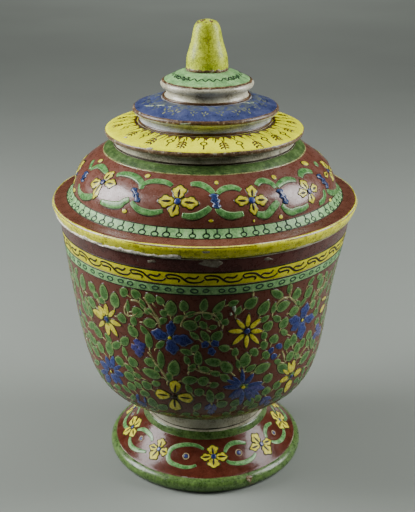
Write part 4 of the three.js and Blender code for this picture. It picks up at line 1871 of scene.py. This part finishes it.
@dataclass
class JarBowl(TurnedPiece):
    """The deep bowl: flowering branches on red, then a beaded band, a scroll band and the dark rim band."""

    node: str = "jar_bowl"
    body: Body = Body.JAR
    glaze: Enamel = INNER_GLAZE
    field_top: float = 104.97 * MM
    bead_top: float = 108.9 * MM
    scroll_bottom: float = 109.34 * MM
    scroll_top: float = 115.0 * MM
    bead_count: int = 74
    scroll_count: int = 26
    scroll_pitch: float = 15.1
    scroll_width: float = 1.15 * MM
    stem_width: float = 1.15 * MM
    stalk_widths: tuple[float, ...] = (0.6 * MM, 0.85 * MM, 0.8 * MM, 0.55 * MM)
    stalk_least: float = 0.8 * MM
    leaf_growth: tuple[float, float] = (0.565, 1.36)
    leaf_widths: tuple[float, float] = (2.2 * MM, 5.8 * MM)
    leaf_room: float = 4.1 * MM
    leaf_tries: int = 5000
    front: float = math.radians(76)
    side_gap: tuple[float, float] = (math.radians(76), math.radians(104))
    side_flowers: tuple[tuple[str, int], ...] = (("yellow", 1), ("star", 1))

    def enamel(self) -> None:
        """Lay the bands, their lines and links, the scroll, the branches and the wear."""
        face = self.face
        field_top, bead_top, low, high = (face.run_at(z) for z in (self.field_top, self.bead_top,
                                                                   self.scroll_bottom, self.scroll_top))
        self.band("bowl_field_red", 0.6 * MM, field_top, IRON_RED, Slot.IRON_RED, rise=0.05 * MM)
        self.band("bowl_bead_band", field_top, bead_top, TURQUOISE, Slot.PALE_GREEN, waver=0.12 * MM, seed=31)
        self.band("bowl_scroll_band", low, high, LEMON_BAND, Slot.LEMON, waver=0.1 * MM, seed=32)
        self.band("bowl_rim_band", high + 0.3 * MM, face.length - 0.3 * MM, DARK_RED, Slot.IRON_RED,
                  waver=0.15 * MM, seed=33)
        for name, run, width in (("bowl_line_bead_foot", field_top, 0.6),
                                 ("bowl_line_bead_top", bead_top, 0.7), ("bowl_line_scroll_top", high, 0.8)):
            self.band(name, run - width / 2 * MM, run + width / 2 * MM, BLACK_LINE, Slot.OLIVE,
                      rise=0.16 * MM, waver=0.12 * MM, seed=34)
        link = Relief().ribbon(loop(1.35 * MM, 0.85 * MM, steps=10), 0.8 * MM, 0.2 * MM, closed=True)
        self.ring("bowl_bead_links", link, self.bead_count, (field_top + bead_top) / 2, SUNK_LINE, Slot.GREEN,
                  first=0.02, unevenness=0.12)
        self.scroll((low + high) / 2)
        self.branches()
        self.scars("bowl_rim_rubbed", ((211, 264, 13, 4), (152, 261, 5, 1.5), (268, 259, 5, 1.5)), RUBBED,
                   Slot.WHITE, 0.18 * MM)
        self.scars("bowl_smear", ((234, 309, 2.2, 3.5), (231, 314, 1.5, 1.5)), SMEAR, Slot.PALE_GREEN,
                   0.3 * MM)

    def scroll(self, run: float) -> None:
        """Draw the running scroll with its hooks on the yellow band.

        Args:
            run: Run of its middle.
        """
        lines = (((0, 0.43), (0.55, 1.37), (2.5, 1.66), (5.2, 1.23), (6.9, 0), (8.8, -1.3), (11, -1.63),
                  (13.75, -1.3), (15.1, -0.14)),
                 ((0.14, 0.7), (0.96, -0.2), (2.5, -0.1), (4.1, 0), (5.4, -0.57), (4.95, -1.57)),
                 ((7.7, 0), (8.8, 0.66), (10.2, 0.43), (11.3, 0.29), (12.2, 0.7), (12.9, 1.6)))
        step = FULL_TURN / self.scroll_count
        relief = Relief()
        for k in range(self.scroll_count):
            for line in lines:
                path = smooth_path([(k * step + x / self.scroll_pitch * step, run + y * MM) for x, y in line],
                                   parts=3)
                relief.ribbon(path, tapered(len(path), self.scroll_width, 0.6), 0.2 * MM, self.face.radius)
        self.strokes("bowl_scroll_lines", relief, BLACK_LINE, Slot.OLIVE)

    def branches(self) -> None:
        """Paint the leaves, stems and flowers all round the bowl."""
        leaves = [self.leaf_place(*leaf) for leaf in PAINTED_LEAVES]
        flowers = {key: self.petals(flowers, FLOWER_STYLES[key].foot_px)
                   for key, flowers in BOWL_FLOWERS.items()}
        for key, which in self.side_flowers:
            petals, hearts = self.petals((BOWL_FLOWERS[key][which],), FLOWER_STYLES[key].foot_px)
            for side in (math.pi / 2, -math.pi / 2):
                flowers[key][0].extend(p.round_by(side - hearts[0].angle) for p in petals)
                flowers[key][1].extend(p.round_by(side - hearts[0].angle) for p in hearts)
        grown_leaves = self.on_the_back(leaves)
        taken = grown_leaves + self.on_the_back([p for petals, _ in flowers.values() for p in petals])
        low, high = self.side_gap
        grown_leaves += self.sown(taken, (low, high), self.leaf_room)
        grown_leaves += self.sown(taken, (-high, -low), self.leaf_room)
        grown_leaves += self.on_the_back(self.sown(taken, (-self.front, self.front), self.leaf_room, 43))
        self.motif("bowl_leaves", unit_leaf(0.85, blunt=0.6), grown_leaves, LEAF_GREEN, Slot.GREEN, seed=7)
        for key, (petals, hearts) in flowers.items():
            petals, hearts = self.on_the_back(petals), self.on_the_back(hearts)
            style = FLOWER_STYLES[key]
            petal = unit_petal(lobed=style.lobed) if style.spade else unit_leaf(0.75, 0.18 * MM, 0.55)
            self.motif(f"bowl_{key}_petals", petal, petals, style.petal, style.petal_slot, seed=9)
            if hearts:
                self.motif(f"bowl_{key}_hearts", unit_disc(0.42 * MM), hearts, style.heart, style.heart_slot)
            if style.slit:
                self.motif(f"bowl_{key}_slits", unit_leaf(rise=0.32 * MM),
                           [p.inner(1.1 * MM, 0.66, -0.12) for p in petals], BLACK_LINE, Slot.OLIVE)
        self.stems(grown_leaves)

    def on_the_back(self, places: Sequence[Place]) -> list[Place]:
        """Return the places, and those near enough to the front again half a turn on."""
        return [*places, *(p.round_by(math.pi) for p in places if abs(p.angle) < self.front)]

    def leaf_place(self, x: float, y: float, length: float, width: float, slant: float) -> Place:
        """Find where a leaf lies.

        Args:
            x: Pixel column of its middle.
            y: Pixel row of its middle.
            length: Its length in pixels.
            width: Its width in pixels.
            slant: Its slant in degrees.

        Returns:
            The place, grown a little for the outline that the tracing left out.
        """
        longer, wider = self.leaf_growth
        reach = Vector((math.cos(math.radians(slant)), -math.sin(math.radians(slant)))) * length * longer
        middle = Vector((x, y))
        return self.painted(tuple(middle - reach), tuple(middle + reach), width * wider, *self.leaf_widths)

    def sown(self, taken: list[Place], reach: tuple[float, float], room: float,
             seed: int = 41) -> list[Place]:
        """Sow leaves clear of all that is there, where the photograph is crowded but too fine to trace.

        Args:
            taken: What is there already; the new leaves are added to it.
            reach: Angles that they are sown between.
            room: How much room each keeps.
            seed: Seed of the sowing.

        Returns:
            The new leaves.
        """
        chance = random.Random(seed)
        sown: list[Place] = []
        top = self.face.run_at(self.field_top) - 0.6 * room
        for _ in range(self.leaf_tries):
            angle, run = chance.uniform(*reach), chance.uniform(0.9 * room, top)
            radius = float(self.face.radius(run))
            if any(math.hypot(((p.angle - angle + math.pi) % FULL_TURN - math.pi) * radius, p.run - run)
                   < room * 0.5 + (p.along + p.across) * 0.19 for p in taken):
                continue
            leaf = Place(angle, run, chance.uniform(-1.3, 1.3), chance.uniform(0.72, 0.95) * room,
                         chance.uniform(1.2, 1.65) * room)
            sown.append(leaf)
            taken.append(leaf)
        return sown

    def stems(self, leaves: Sequence[Place]) -> None:
        """Draw the stems, and the stalk that joins each leaf to them.

        Args:
            leaves: The leaves.
        """
        relief = Relief()
        for stem in PAINTED_STEMS:
            path = self.trace(stem)
            for turn in (0.0, math.pi):
                laid = [(angle + turn, run) for angle, run in path]
                relief.ribbon(laid, tapered(len(laid), self.stem_width, 0.7), 0.16 * MM, self.face.radius)
        for leaf in leaves:
            radius = float(self.face.radius(leaf.run))
            way = (-math.sin(leaf.turn), math.cos(leaf.turn))
            side = 1 if way[1] > 0 else -1
            stalk = [(leaf.angle - way[0] * side * reach / radius + bend / radius,
                      leaf.run - way[1] * side * reach)
                     for reach, bend in ((leaf.along * 0.3, 0.0), (leaf.along * 0.5, 0.0),
                                         (leaf.along * 0.5 + 0.9 * MM, 0.2 * MM),
                                         (leaf.along * 0.5 + 1.7 * MM, 0.7 * MM))]
            if stalk[-1][1] > self.stalk_least:
                relief.ribbon(stalk, self.stalk_widths, 0.14 * MM, self.face.radius)
        self.strokes("bowl_stems", relief, STEM_GREEN, Slot.OLIVE)


@dataclass
class LocatingRing(TurnedPiece):
    """The glazed ring under the lid that keeps it in the mouth of the bowl."""

    node: str = "lid_locating_ring"
    body: Body = Body.LID


@dataclass
class LidDome(TurnedPiece):
    """The lid's dome: a thick yellow rim, a beaded band, and a garland of leaf arcs, flowers and knots."""

    node: str = "lid_dome"
    body: Body = Body.LID
    rim_top: float = 6.6 * MM
    bead_bottom: float = 12.3 * MM
    bead_top: float = 16.7 * MM
    crown_bottom: float = 39.9 * MM
    bead_count: int = 74
    side: float = math.radians(71)
    pixel: float = 0.68 * MM
    arc_rise: float = 0.17 * MM
    outline_width: float = 0.45 * MM
    outline_rise: float = 0.12 * MM

    def enamel(self) -> None:
        """Lay the bands, their lines and drops, the garland with its flowers, and the wear."""
        self.band("dome_rim_yellow", 0.5 * MM, self.rim_top, OLIVE_RIM, Slot.OLIVE, rise=0.2 * MM,
                  waver=0.45 * MM, seed=51)
        self.band("dome_ledge_red", self.rim_top - 1.0 * MM, self.bead_bottom, SHADED_LEDGE_RED, Slot.IRON_RED,
                  rise=0.06 * MM)
        self.band("dome_bead_band", self.bead_bottom, self.bead_top, TURQUOISE, Slot.PALE_GREEN,
                  waver=0.15 * MM, seed=52)
        self.band("dome_field_red", self.bead_top, self.crown_bottom, DOME_RED, Slot.IRON_RED, rise=0.06 * MM)
        self.band("dome_crown_green", self.crown_bottom, self.face.length, SHADED_CROWN_GREEN, Slot.GREEN,
                  waver=0.2 * MM, seed=53)
        self.band("dome_crown_line", self.crown_bottom - 0.3 * MM, self.crown_bottom + 0.3 * MM, STEM_GREEN,
                  Slot.OLIVE, rise=0.14 * MM, waver=0.15 * MM, seed=54)
        for name, run in (("dome_bead_line", self.bead_top), ("dome_bead_foot_line", self.bead_bottom)):
            self.band(name, run - 0.3 * MM, run + 0.3 * MM, BLACK_LINE, Slot.GREEN, rise=0.14 * MM,
                      waver=0.15 * MM, seed=55)
        drop = Relief()
        drop.ribbon(loop(1.3 * MM, 1.0 * MM, -0.9 * MM), 0.85 * MM, 0.2 * MM, closed=True)
        drop.ribbon([(0, 0), (0.1 * MM, 1.0 * MM), (0, 2.1 * MM)], 0.8 * MM, 0.2 * MM)
        self.ring("dome_bead_drops", drop, self.bead_count, (self.bead_bottom + self.bead_top) / 2,
                  GREEN_LINE, Slot.GREEN, unevenness=0.12, seed=6)
        self.garland()
        self.flowers()
        self.worn_edge("dome_edge_chips", 1.1 * MM, (-1.6, -0.12), 2.8 * MM, BARED, 0.6 * MM)
        self.scars("dome_rim_rubbed", ((313, 250, 13, 3), (330, 241, 5, 3), (98, 243, 8, 1.6),
                                       (206, 252, 6, 1.2)), CHIPPED, Slot.WHITE, 0.24 * MM, seed=18)

    def garland(self) -> None:
        """Paint the leaf arcs that run from knot to knot about the flowers, the knots and the seeds."""
        arcs, outlines = Relief(), Relief()
        for width, pixels in DOME_ARCS:
            traced = self.trace(pixels)
            for path in (traced, path_round(traced, self.side)):
                middle = sum(angle for angle, _ in traced) / len(traced)
                wide = width * self.pixel / max(0.5, math.cos(middle)) ** 0.5
                arcs.ribbon(path, tapered(len(path), wide, 0.6), self.arc_rise, self.face.radius)
                inner = [(a, run - 0.5 * wide) for a, run in path[1:-1]]
                outlines.ribbon(inner, tapered(len(inner), self.outline_width), self.outline_rise,
                                self.face.radius)
        self.strokes("dome_leaf_arcs", arcs, SCROLL_GREEN, Slot.GREEN)
        self.strokes("dome_arc_outlines", outlines, BLACK_LINE, Slot.GREEN)
        knots = places_round([self.painted((x, y), (u, v), width) for x, y, u, v, width in DOME_KNOTS],
                             self.side)
        self.motif("dome_knots", unit_knot(0.34 * MM), knots, COBALT_KNOT, Slot.COBALT)
        seeds = places_round([self.painted((x - wide / 2, y), (x + wide / 2, y), tall)
                              for x, y, wide, tall in DOME_SEEDS], self.side)
        self.motif("dome_seeds", unit_disc(0.24 * MM), seeds, LEMON, Slot.LEMON)

    def flowers(self) -> None:
        """Paint the flower in each ring of the garland."""
        petals, hearts = self.petals(DOME_FLOWERS, 1.8, 1.15)
        petals = places_round(petals, self.side)
        hearts += [p.round_by(math.pi) for p in hearts if abs(p.angle) < self.side]
        self.motif("dome_flower_petals", unit_petal(0.22 * MM, lobed=True), petals, LEMON, Slot.LEMON)
        self.motif("dome_petal_slits", unit_leaf(rise=0.3 * MM),
                   [p.inner(1.25 * MM, 0.64, -0.12) for p in petals], BLACK_LINE, Slot.OLIVE)
        self.motif("dome_flower_hearts", unit_disc(0.45 * MM), hearts, COBALT, Slot.COBALT)


# Brush drawings on the yellow shelf, each from its inner to its outer end: ringed stalks and sprigs by turns.
SHELF_MARKS = ((129, 126.5, 121, 129.7), (140, 130.5, 128, 136), (150, 133, 139, 139), (159, 136, 146, 145),
               (172.5, 138.5, 166, 146.5), (185.5, 138, 179, 150.5), (204, 140, 203.3, 151),
               (221, 139, 226.5, 151.5), (236.5, 140, 244.5, 150), (252, 139, 261, 149.5),
               (260, 136, 272, 145), (269, 132, 281, 142), (278, 131, 291, 138.5))


@dataclass
class LowerTier(TurnedPiece):
    """The widest step of the lid: a yellow shelf with brown sprigs and ringed stalks."""

    node: str = "lid_lower_tier"
    body: Body = Body.LID
    edge_bottom: float = 6.7 * MM
    edge_top: float = 8.8 * MM
    mark_count: int = 34
    mark_length: float = 8.6 * MM
    mark_shares: tuple[float, float] = (0.55, 0.95)
    mark_share_behind: float = 0.75
    broad_marks: tuple[int, int] = (3, 9)
    wedge_count: int = 40
    wedge_inset: float = 1.7 * MM

    def enamel(self) -> None:
        """Lay the yellow, the edge and the lines, then the brushwork and the wear."""
        self.band("lower_tier_yellow", self.edge_top, self.face.length, LEMON_SHELF, Slot.LEMON,
                  waver=0.2 * MM, seed=61)
        self.band("lower_tier_edge", self.edge_bottom, self.edge_top + 0.2 * MM, GREY_GILT, Slot.OLIVE,
                  rise=0.14 * MM, waver=0.3 * MM, seed=62)
        self.band("lower_tier_foot_line", 0.02 * MM, 1.0 * MM, BLACK_LINE, Slot.WHITE, rise=0.3 * MM,
                  waver=0.12 * MM, seed=63)
        self.band("lower_tier_inner_shade", self.face.length - 1.6 * MM, self.face.length, BROWN_LINE,
                  Slot.OLIVE, waver=0.3 * MM, seed=64)
        self.marks()
        self.rays()
        self.scars("lower_tier_stains", ((180, 155, 0.8, 3.5), (232, 157, 4, 0.8), (140, 148, 0.8, 2.5)),
                   BROWN_LINE, Slot.WHITE, 0.1 * MM)
        self.scars("lower_tier_edge_chips", ((126, 137.5, 2.2, 0.7), (150, 148.5, 4, 0.9),
                                             (275, 147, 4, 0.9)), CHIPPED, Slot.WHITE, 0.2 * MM)

    def marks(self) -> None:
        """Draw the sprigs and ringed stalks: traced on the front, evenly spaced behind."""
        sprig, stalk = Relief(), Relief()
        sprig.ribbon([(0, 4.3 * MM), (0.2 * MM, 0), (0, -4.3 * MM)], (0.6 * MM, 0.9 * MM, 0.6 * MM),
                     0.18 * MM)
        for along, reach in ((1.9, 1.7), (0.1, 2.0), (-1.8, 1.7)):
            for side in (1, -1):
                path = [(0, along * MM), (side * reach * 0.6 * MM, (along - 0.7) * MM),
                        (side * reach * MM, (along - 1.9) * MM)]
                sprig.ribbon(path, (0.6 * MM, 1.25 * MM, 0.6 * MM), 0.2 * MM)
        stalk.ribbon(loop(1.25 * MM, 1.4 * MM, 1.2 * MM), 0.75 * MM, 0.2 * MM, closed=True)
        stalk.ribbon([(0, -0.2 * MM), (0.1 * MM, -1.6 * MM), (0, -4.0 * MM)], 0.75 * MM, 0.2 * MM)
        stalk.ribbon([(0, 2.6 * MM), (0, 4.3 * MM)], 0.45 * MM, 0.18 * MM)
        traced = [self.between((x, y), (u, v), 1.0) for x, y, u, v in SHELF_MARKS]
        least, most = self.mark_shares
        places = [Place(p.angle, p.run, p.turn + math.pi, 1.0,
                        min(max(least, p.along / self.mark_length), most)) for p in traced]
        first, last = places[0].angle, places[-1].angle
        behind = self.mark_count - len(places)
        step = (FULL_TURN - (last - first)) / (behind + 1)
        run = float(np.mean([p.run for p in places[slice(*self.broad_marks)]]))
        places += [Place(last + step * (k + 1), run, 0, 1.0, self.mark_share_behind) for k in range(behind)]
        self.motif("lower_tier_stalks", stalk, places[::2], BLACK_LINE, Slot.OLIVE)
        self.motif("lower_tier_sprigs", sprig, places[1::2], BROWN_LINE, Slot.OLIVE)

    def rays(self) -> None:
        """Draw the shelf's inner edge: dark wedges, and between them thin rays that run outwards."""
        ray, wedge = Relief(), Relief()
        ray.ribbon([(0, 0.8 * MM), (0.1 * MM, -1.2 * MM), (0, -3.6 * MM)], (1.0 * MM, 0.75 * MM, 0.3 * MM),
                   0.15 * MM)
        wedge.pad([(0.0, -2.6 * MM), (1.5 * MM, 0.6 * MM), (0.0, 0.9 * MM), (-1.5 * MM, 0.6 * MM)], 0.17 * MM)
        inner = self.face.length - self.wedge_inset
        self.ring("lower_tier_rays", ray, 2 * self.wedge_count, inner, BLACK_LINE, Slot.OLIVE, unevenness=0.3)
        self.ring("lower_tier_wedges", wedge, self.wedge_count, inner, BROWN_LINE, Slot.OLIVE, unevenness=0.1,
                  seed=12)


@dataclass
class MiddleTier(TurnedPiece):
    """The second step: a cobalt shelf with rubbed gold leaves and a worn gilt edge."""

    node: str = "lid_middle_tier"
    body: Body = Body.LID
    glaze: Enamel = BLUED_GLAZE
    edge_bottom: float = 6.9 * MM
    edge_top: float = 8.7 * MM
    dab_count: int = 26
    dab_run: float = 14.6 * MM

    def enamel(self) -> None:
        """Lay the blue, the gold, the edge and the foot line, then the smears."""
        self.band("middle_tier_blue", self.edge_top, self.face.length, COBALT_SHELF, Slot.COBALT,
                  waver=0.2 * MM, seed=71)
        self.band("middle_tier_gold_dust", self.face.length - 4.5 * MM, self.face.length, GOLD_DUST,
                  Slot.OLIVE, rise=0.13 * MM, waver=0.7 * MM, seed=74)
        self.band("middle_tier_edge", self.edge_bottom, self.edge_top + 0.2 * MM, WORN_GILT, Slot.OLIVE,
                  rise=0.14 * MM, waver=0.2 * MM, seed=72)
        self.band("middle_tier_foot_line", 0.02 * MM, 1.3 * MM, BROWN_LINE, Slot.WHITE, rise=0.45 * MM,
                  waver=0.12 * MM, seed=73)
        dab = Relief()
        for x, y, turn, length in ((0, 1.0, 0, 2.6), (-1.3, 0.0, 0.7, 2.4), (1.3, 0.0, -0.7, 2.4),
                                   (0, -1.8, 0, 2.2)):
            c, s = math.cos(turn), math.sin(turn)
            dab.pad([(x * MM + (px * c - py * s), y * MM + (px * s + py * c))
                     for px, py in leaf_outline(length * MM, 0.9 * MM, steps=4)], 0.12 * MM)
        self.ring("middle_tier_gold_leaves", dab, self.dab_count, self.dab_run, FADED_GOLD, Slot.OLIVE,
                  unevenness=0.2, seed=10)
        self.scars("middle_tier_smears", ((150, 106, 6, 0.6), (161, 105.5, 6, 0.5), (170, 107, 3, 0.6),
                                          (248, 103, 7, 0.6), (185, 124, 6, 0.7), (140, 113, 1.2, 1)), SMEAR,
                   Slot.PALE_GREEN, 0.17 * MM)


@dataclass
class UpperTier(TurnedPiece):
    """The top step: a turquoise shelf with a leafy wave, over a rounded white edge."""

    node: str = "lid_upper_tier"
    body: Body = Body.LID
    edge_bottom: float = 8.7 * MM
    edge_top: float = 10.0 * MM
    wave_count: int = 28
    wave_run: float = 14.4 * MM
    wave_steps: int = 8
    wave_height: float = 0.75 * MM
    squiggle_angles: tuple[float, ...] = (-62, -50, -38, 38, 50, 62, 130, 142, 154, 206, 218, 230)

    def enamel(self) -> None:
        """Lay the turquoise, the edge and the foot line, then the wave and its leaves."""
        self.band("upper_tier_turquoise", self.edge_top - 0.2 * MM, self.face.length, TURQUOISE,
                  Slot.PALE_GREEN, waver=0.2 * MM, seed=81)
        self.band("upper_tier_edge", self.edge_bottom, self.edge_top, WORN_GILT, Slot.OLIVE, rise=0.16 * MM,
                  waver=0.3 * MM, seed=82)
        self.band("upper_tier_foot_line", 0.02 * MM, 1.1 * MM, BROWN_LINE, Slot.WHITE, rise=0.6 * MM,
                  waver=0.12 * MM, seed=83)
        wave = Relief()
        count = self.wave_count * self.wave_steps
        wave.ribbon([(FULL_TURN * k / count,
                      self.wave_run + self.wave_height * math.sin(FULL_TURN * k / self.wave_steps))
                     for k in range(count)], 0.8 * MM, 0.16 * MM, self.face.radius, closed=True)
        self.strokes("upper_tier_wave", wave, GREEN_LINE, Slot.GREEN)
        leaf = Relief()
        for side in (1, -1):
            leaf.ribbon([(0, 0), (0.9 * side * MM, 0.9 * MM), (1.9 * side * MM, 0.3 * MM)],
                        (0.4 * MM, 1.0 * MM, 0.35 * MM), 0.2 * MM)
            leaf.ribbon([(0, 0), (0.8 * side * MM, -0.9 * MM), (1.6 * side * MM, -0.6 * MM)],
                        (0.4 * MM, 0.95 * MM, 0.35 * MM), 0.2 * MM)
        places = [Place(math.radians(a), self.wave_run, 0.2 * (i % 3))
                  for i, a in enumerate(self.squiggle_angles)]
        self.motif("upper_tier_wave_leaves", leaf, places, GREEN_LINE, Slot.GREEN)


@dataclass
class LidKnob(TurnedPiece):
    """The bud-shaped knob, glazed olive yellow, with a worn foot."""

    node: str = "lid_knob"
    body: Body = Body.LID
    glaze: Enamel = OLIVE_KNOB
    slot: Slot = Slot.OLIVE
    softening: float = 0.4 * MM

    def enamel(self) -> None:
        """Lay the knob's worn foot line, and bare its top where it is rubbed."""
        self.band("knob_foot_worn", 0.5 * MM, 1.6 * MM, GREY_GILT, Slot.WHITE, waver=0.4 * MM, seed=91)
        self.band("knob_foot_line", 0.02 * MM, 0.7 * MM, DARK_RED, Slot.IRON_RED, waver=0.15 * MM, seed=92)
        self.scars("knob_top_rubbed", ((203, 20, 3, 0.7), (211, 20.5, 2, 0.8), (198, 22.5, 1.2, 1),
                                       (206, 22, 1.5, 0.6)), GREY_GILT, Slot.OLIVE, 0.1 * MM)


@dataclass
class Stage:
    """The studio: a pale floor, a softbox at each side, a lamp behind, a weak front fill, and dark cloth."""

    floor_half: float = 4.0
    light_size: tuple[float, float] = (0.36, 0.5)
    light_reach: float = 0.75
    left_power: float = 12.2
    right_power: float = 8.7
    backdrop_power: float = 19.0
    front_power: float = 1.5
    room_light: float = 0.02
    flag_near: float = 0.085
    aim: tuple[float, float, float] = (0.0, 0.0, 0.1)
    side_way: tuple[float, float, float] = (0.86, 0.03, 0.5)
    backdrop_at: tuple[float, float, float] = (0.0, 1.9, 1.2)
    backdrop_tilt: float = math.radians(10)
    backdrop_size: float = 1.2
    front_at: tuple[float, float, float] = (0.0, -0.75, 0.85)
    front_tilt: float = math.radians(45)
    front_size: float = 0.5
    cloth_reach: tuple[float, float] = (0.7, 0.9)
    cloth_height: float = 1.5 * MM

    def build(self) -> None:
        """Lay the floor and hang the lights."""
        h = self.floor_half
        floor = self.sheet("studio_floor", (-h, h, -h, h), 0.0)
        floor.data.materials.append(self.paper())
        for name, side, power in (("left_softbox", -1, self.left_power),
                                  ("right_softbox", 1, self.right_power)):
            way = Vector((side * self.side_way[0], *self.side_way[1:])).normalized()
            self.lamp(name, power, self.light_size, Vector(self.aim) + way * self.light_reach,
                      way.to_track_quat("Z", "Y").to_euler())
        wide = (self.backdrop_size, self.backdrop_size)
        small = (self.front_size, self.front_size)
        for name, power, size, at, tilt in (
                ("backdrop_lamp", self.backdrop_power, wide, self.backdrop_at, self.backdrop_tilt),
                ("front_fill", self.front_power, small, self.front_at, self.front_tilt)):
            self.lamp(name, power, size, at, (tilt, 0.0, 0.0)).visible_glossy = False
        self.dark_cloth()
        world = bpy.data.worlds.new("studio_room")
        bpy.context.scene.world = world
        world.use_nodes = True
        room = world.node_tree.nodes["Background"]
        room.inputs["Color"].default_value = linear("9a9d9a")
        room.inputs["Strength"].default_value = self.room_light

    def sheet(self, name: str, reach: tuple[float, float, float, float], height: float) -> Object:
        """Lay a flat sheet.

        Args:
            name: Its name.
            reach: Its least and greatest x, and its least and greatest y.
            height: Its height.

        Returns:
            The sheet.
        """
        left, right, near, far = reach
        mesh = bpy.data.meshes.new(name)
        corners = ((left, near), (right, near), (right, far), (left, far))
        mesh.from_pydata([(*corner, height) for corner in corners], [], [(0, 1, 2, 3)])
        made = put(name, mesh)
        return made

    @staticmethod
    def lamp(name: str, power: float, size: tuple[float, float], at: Sequence[float],
             turn: Sequence[float]) -> Object:
        """Hang a soft light.

        Args:
            name: Its name.
            power: Its power.
            size: Its width and height.
            at: Where it hangs.
            turn: How it is turned.

        Returns:
            The light.
        """
        data = bpy.data.lights.new(name, "AREA")
        data.shape = "RECTANGLE"
        data.size, data.size_y = size
        data.energy = power
        made = put(name, data)
        made.location, made.rotation_euler = at, turn
        return made

    def dark_cloth(self) -> None:
        """Lay dark cloth in front, out of the camera's sight, so that the front doesn't mirror the floor."""
        half, far = self.cloth_reach
        cloth = self.sheet("dark_cloth", (-half, half, -far, -self.flag_near), self.cloth_height)
        cloth.visible_camera = False
        cloth.visible_shadow = False
        made = bpy.data.materials.new("dark_cloth")
        made.use_nodes = True
        shader = made.node_tree.nodes["Principled BSDF"]
        shader.inputs["Base Color"].default_value = linear("3c3e3b")
        shader.inputs["Roughness"].default_value = 1.0
        shader.inputs["Specular IOR Level"].default_value = 0.0
        cloth.data.materials.append(made)

    @staticmethod
    def paper() -> Material:
        """Make matt grey backdrop paper with a faint cloudiness.

        Returns:
            The material.
        """
        made = bpy.data.materials.new("backdrop_paper")
        made.use_nodes = True
        tree = made.node_tree
        place = add_node(tree, "ShaderNodeTexCoord").outputs["Object"]
        cloud = add_node(tree, "ShaderNodeTexNoise", {"Vector": place, "Scale": 3.0, "Detail": 3.0})
        tone = add_node(tree, "ShaderNodeValToRGB", {"Fac": cloud.outputs["Fac"]})
        Enamel.fill_ramp(tone.color_ramp, [(0.3, "767b75"), (0.7, "7c827b")])
        shader = tree.nodes["Principled BSDF"]
        tree.links.new(tone.outputs["Color"], shader.inputs["Base Color"])
        shader.inputs["Roughness"].default_value = 0.9
        return made


def main() -> None:
    """Build the jar, then the stage."""
    logging.basicConfig(level=logging.INFO, format="%(message)s")
    PHOTO.camera()
    for part in (JarBowl, JarNeck, JarFoot, LocatingRing, LidDome, LowerTier, MiddleTier, UpperTier, LidKnob):
        part().make()
    Stage().build()


if __name__ == "__main__":
    main()
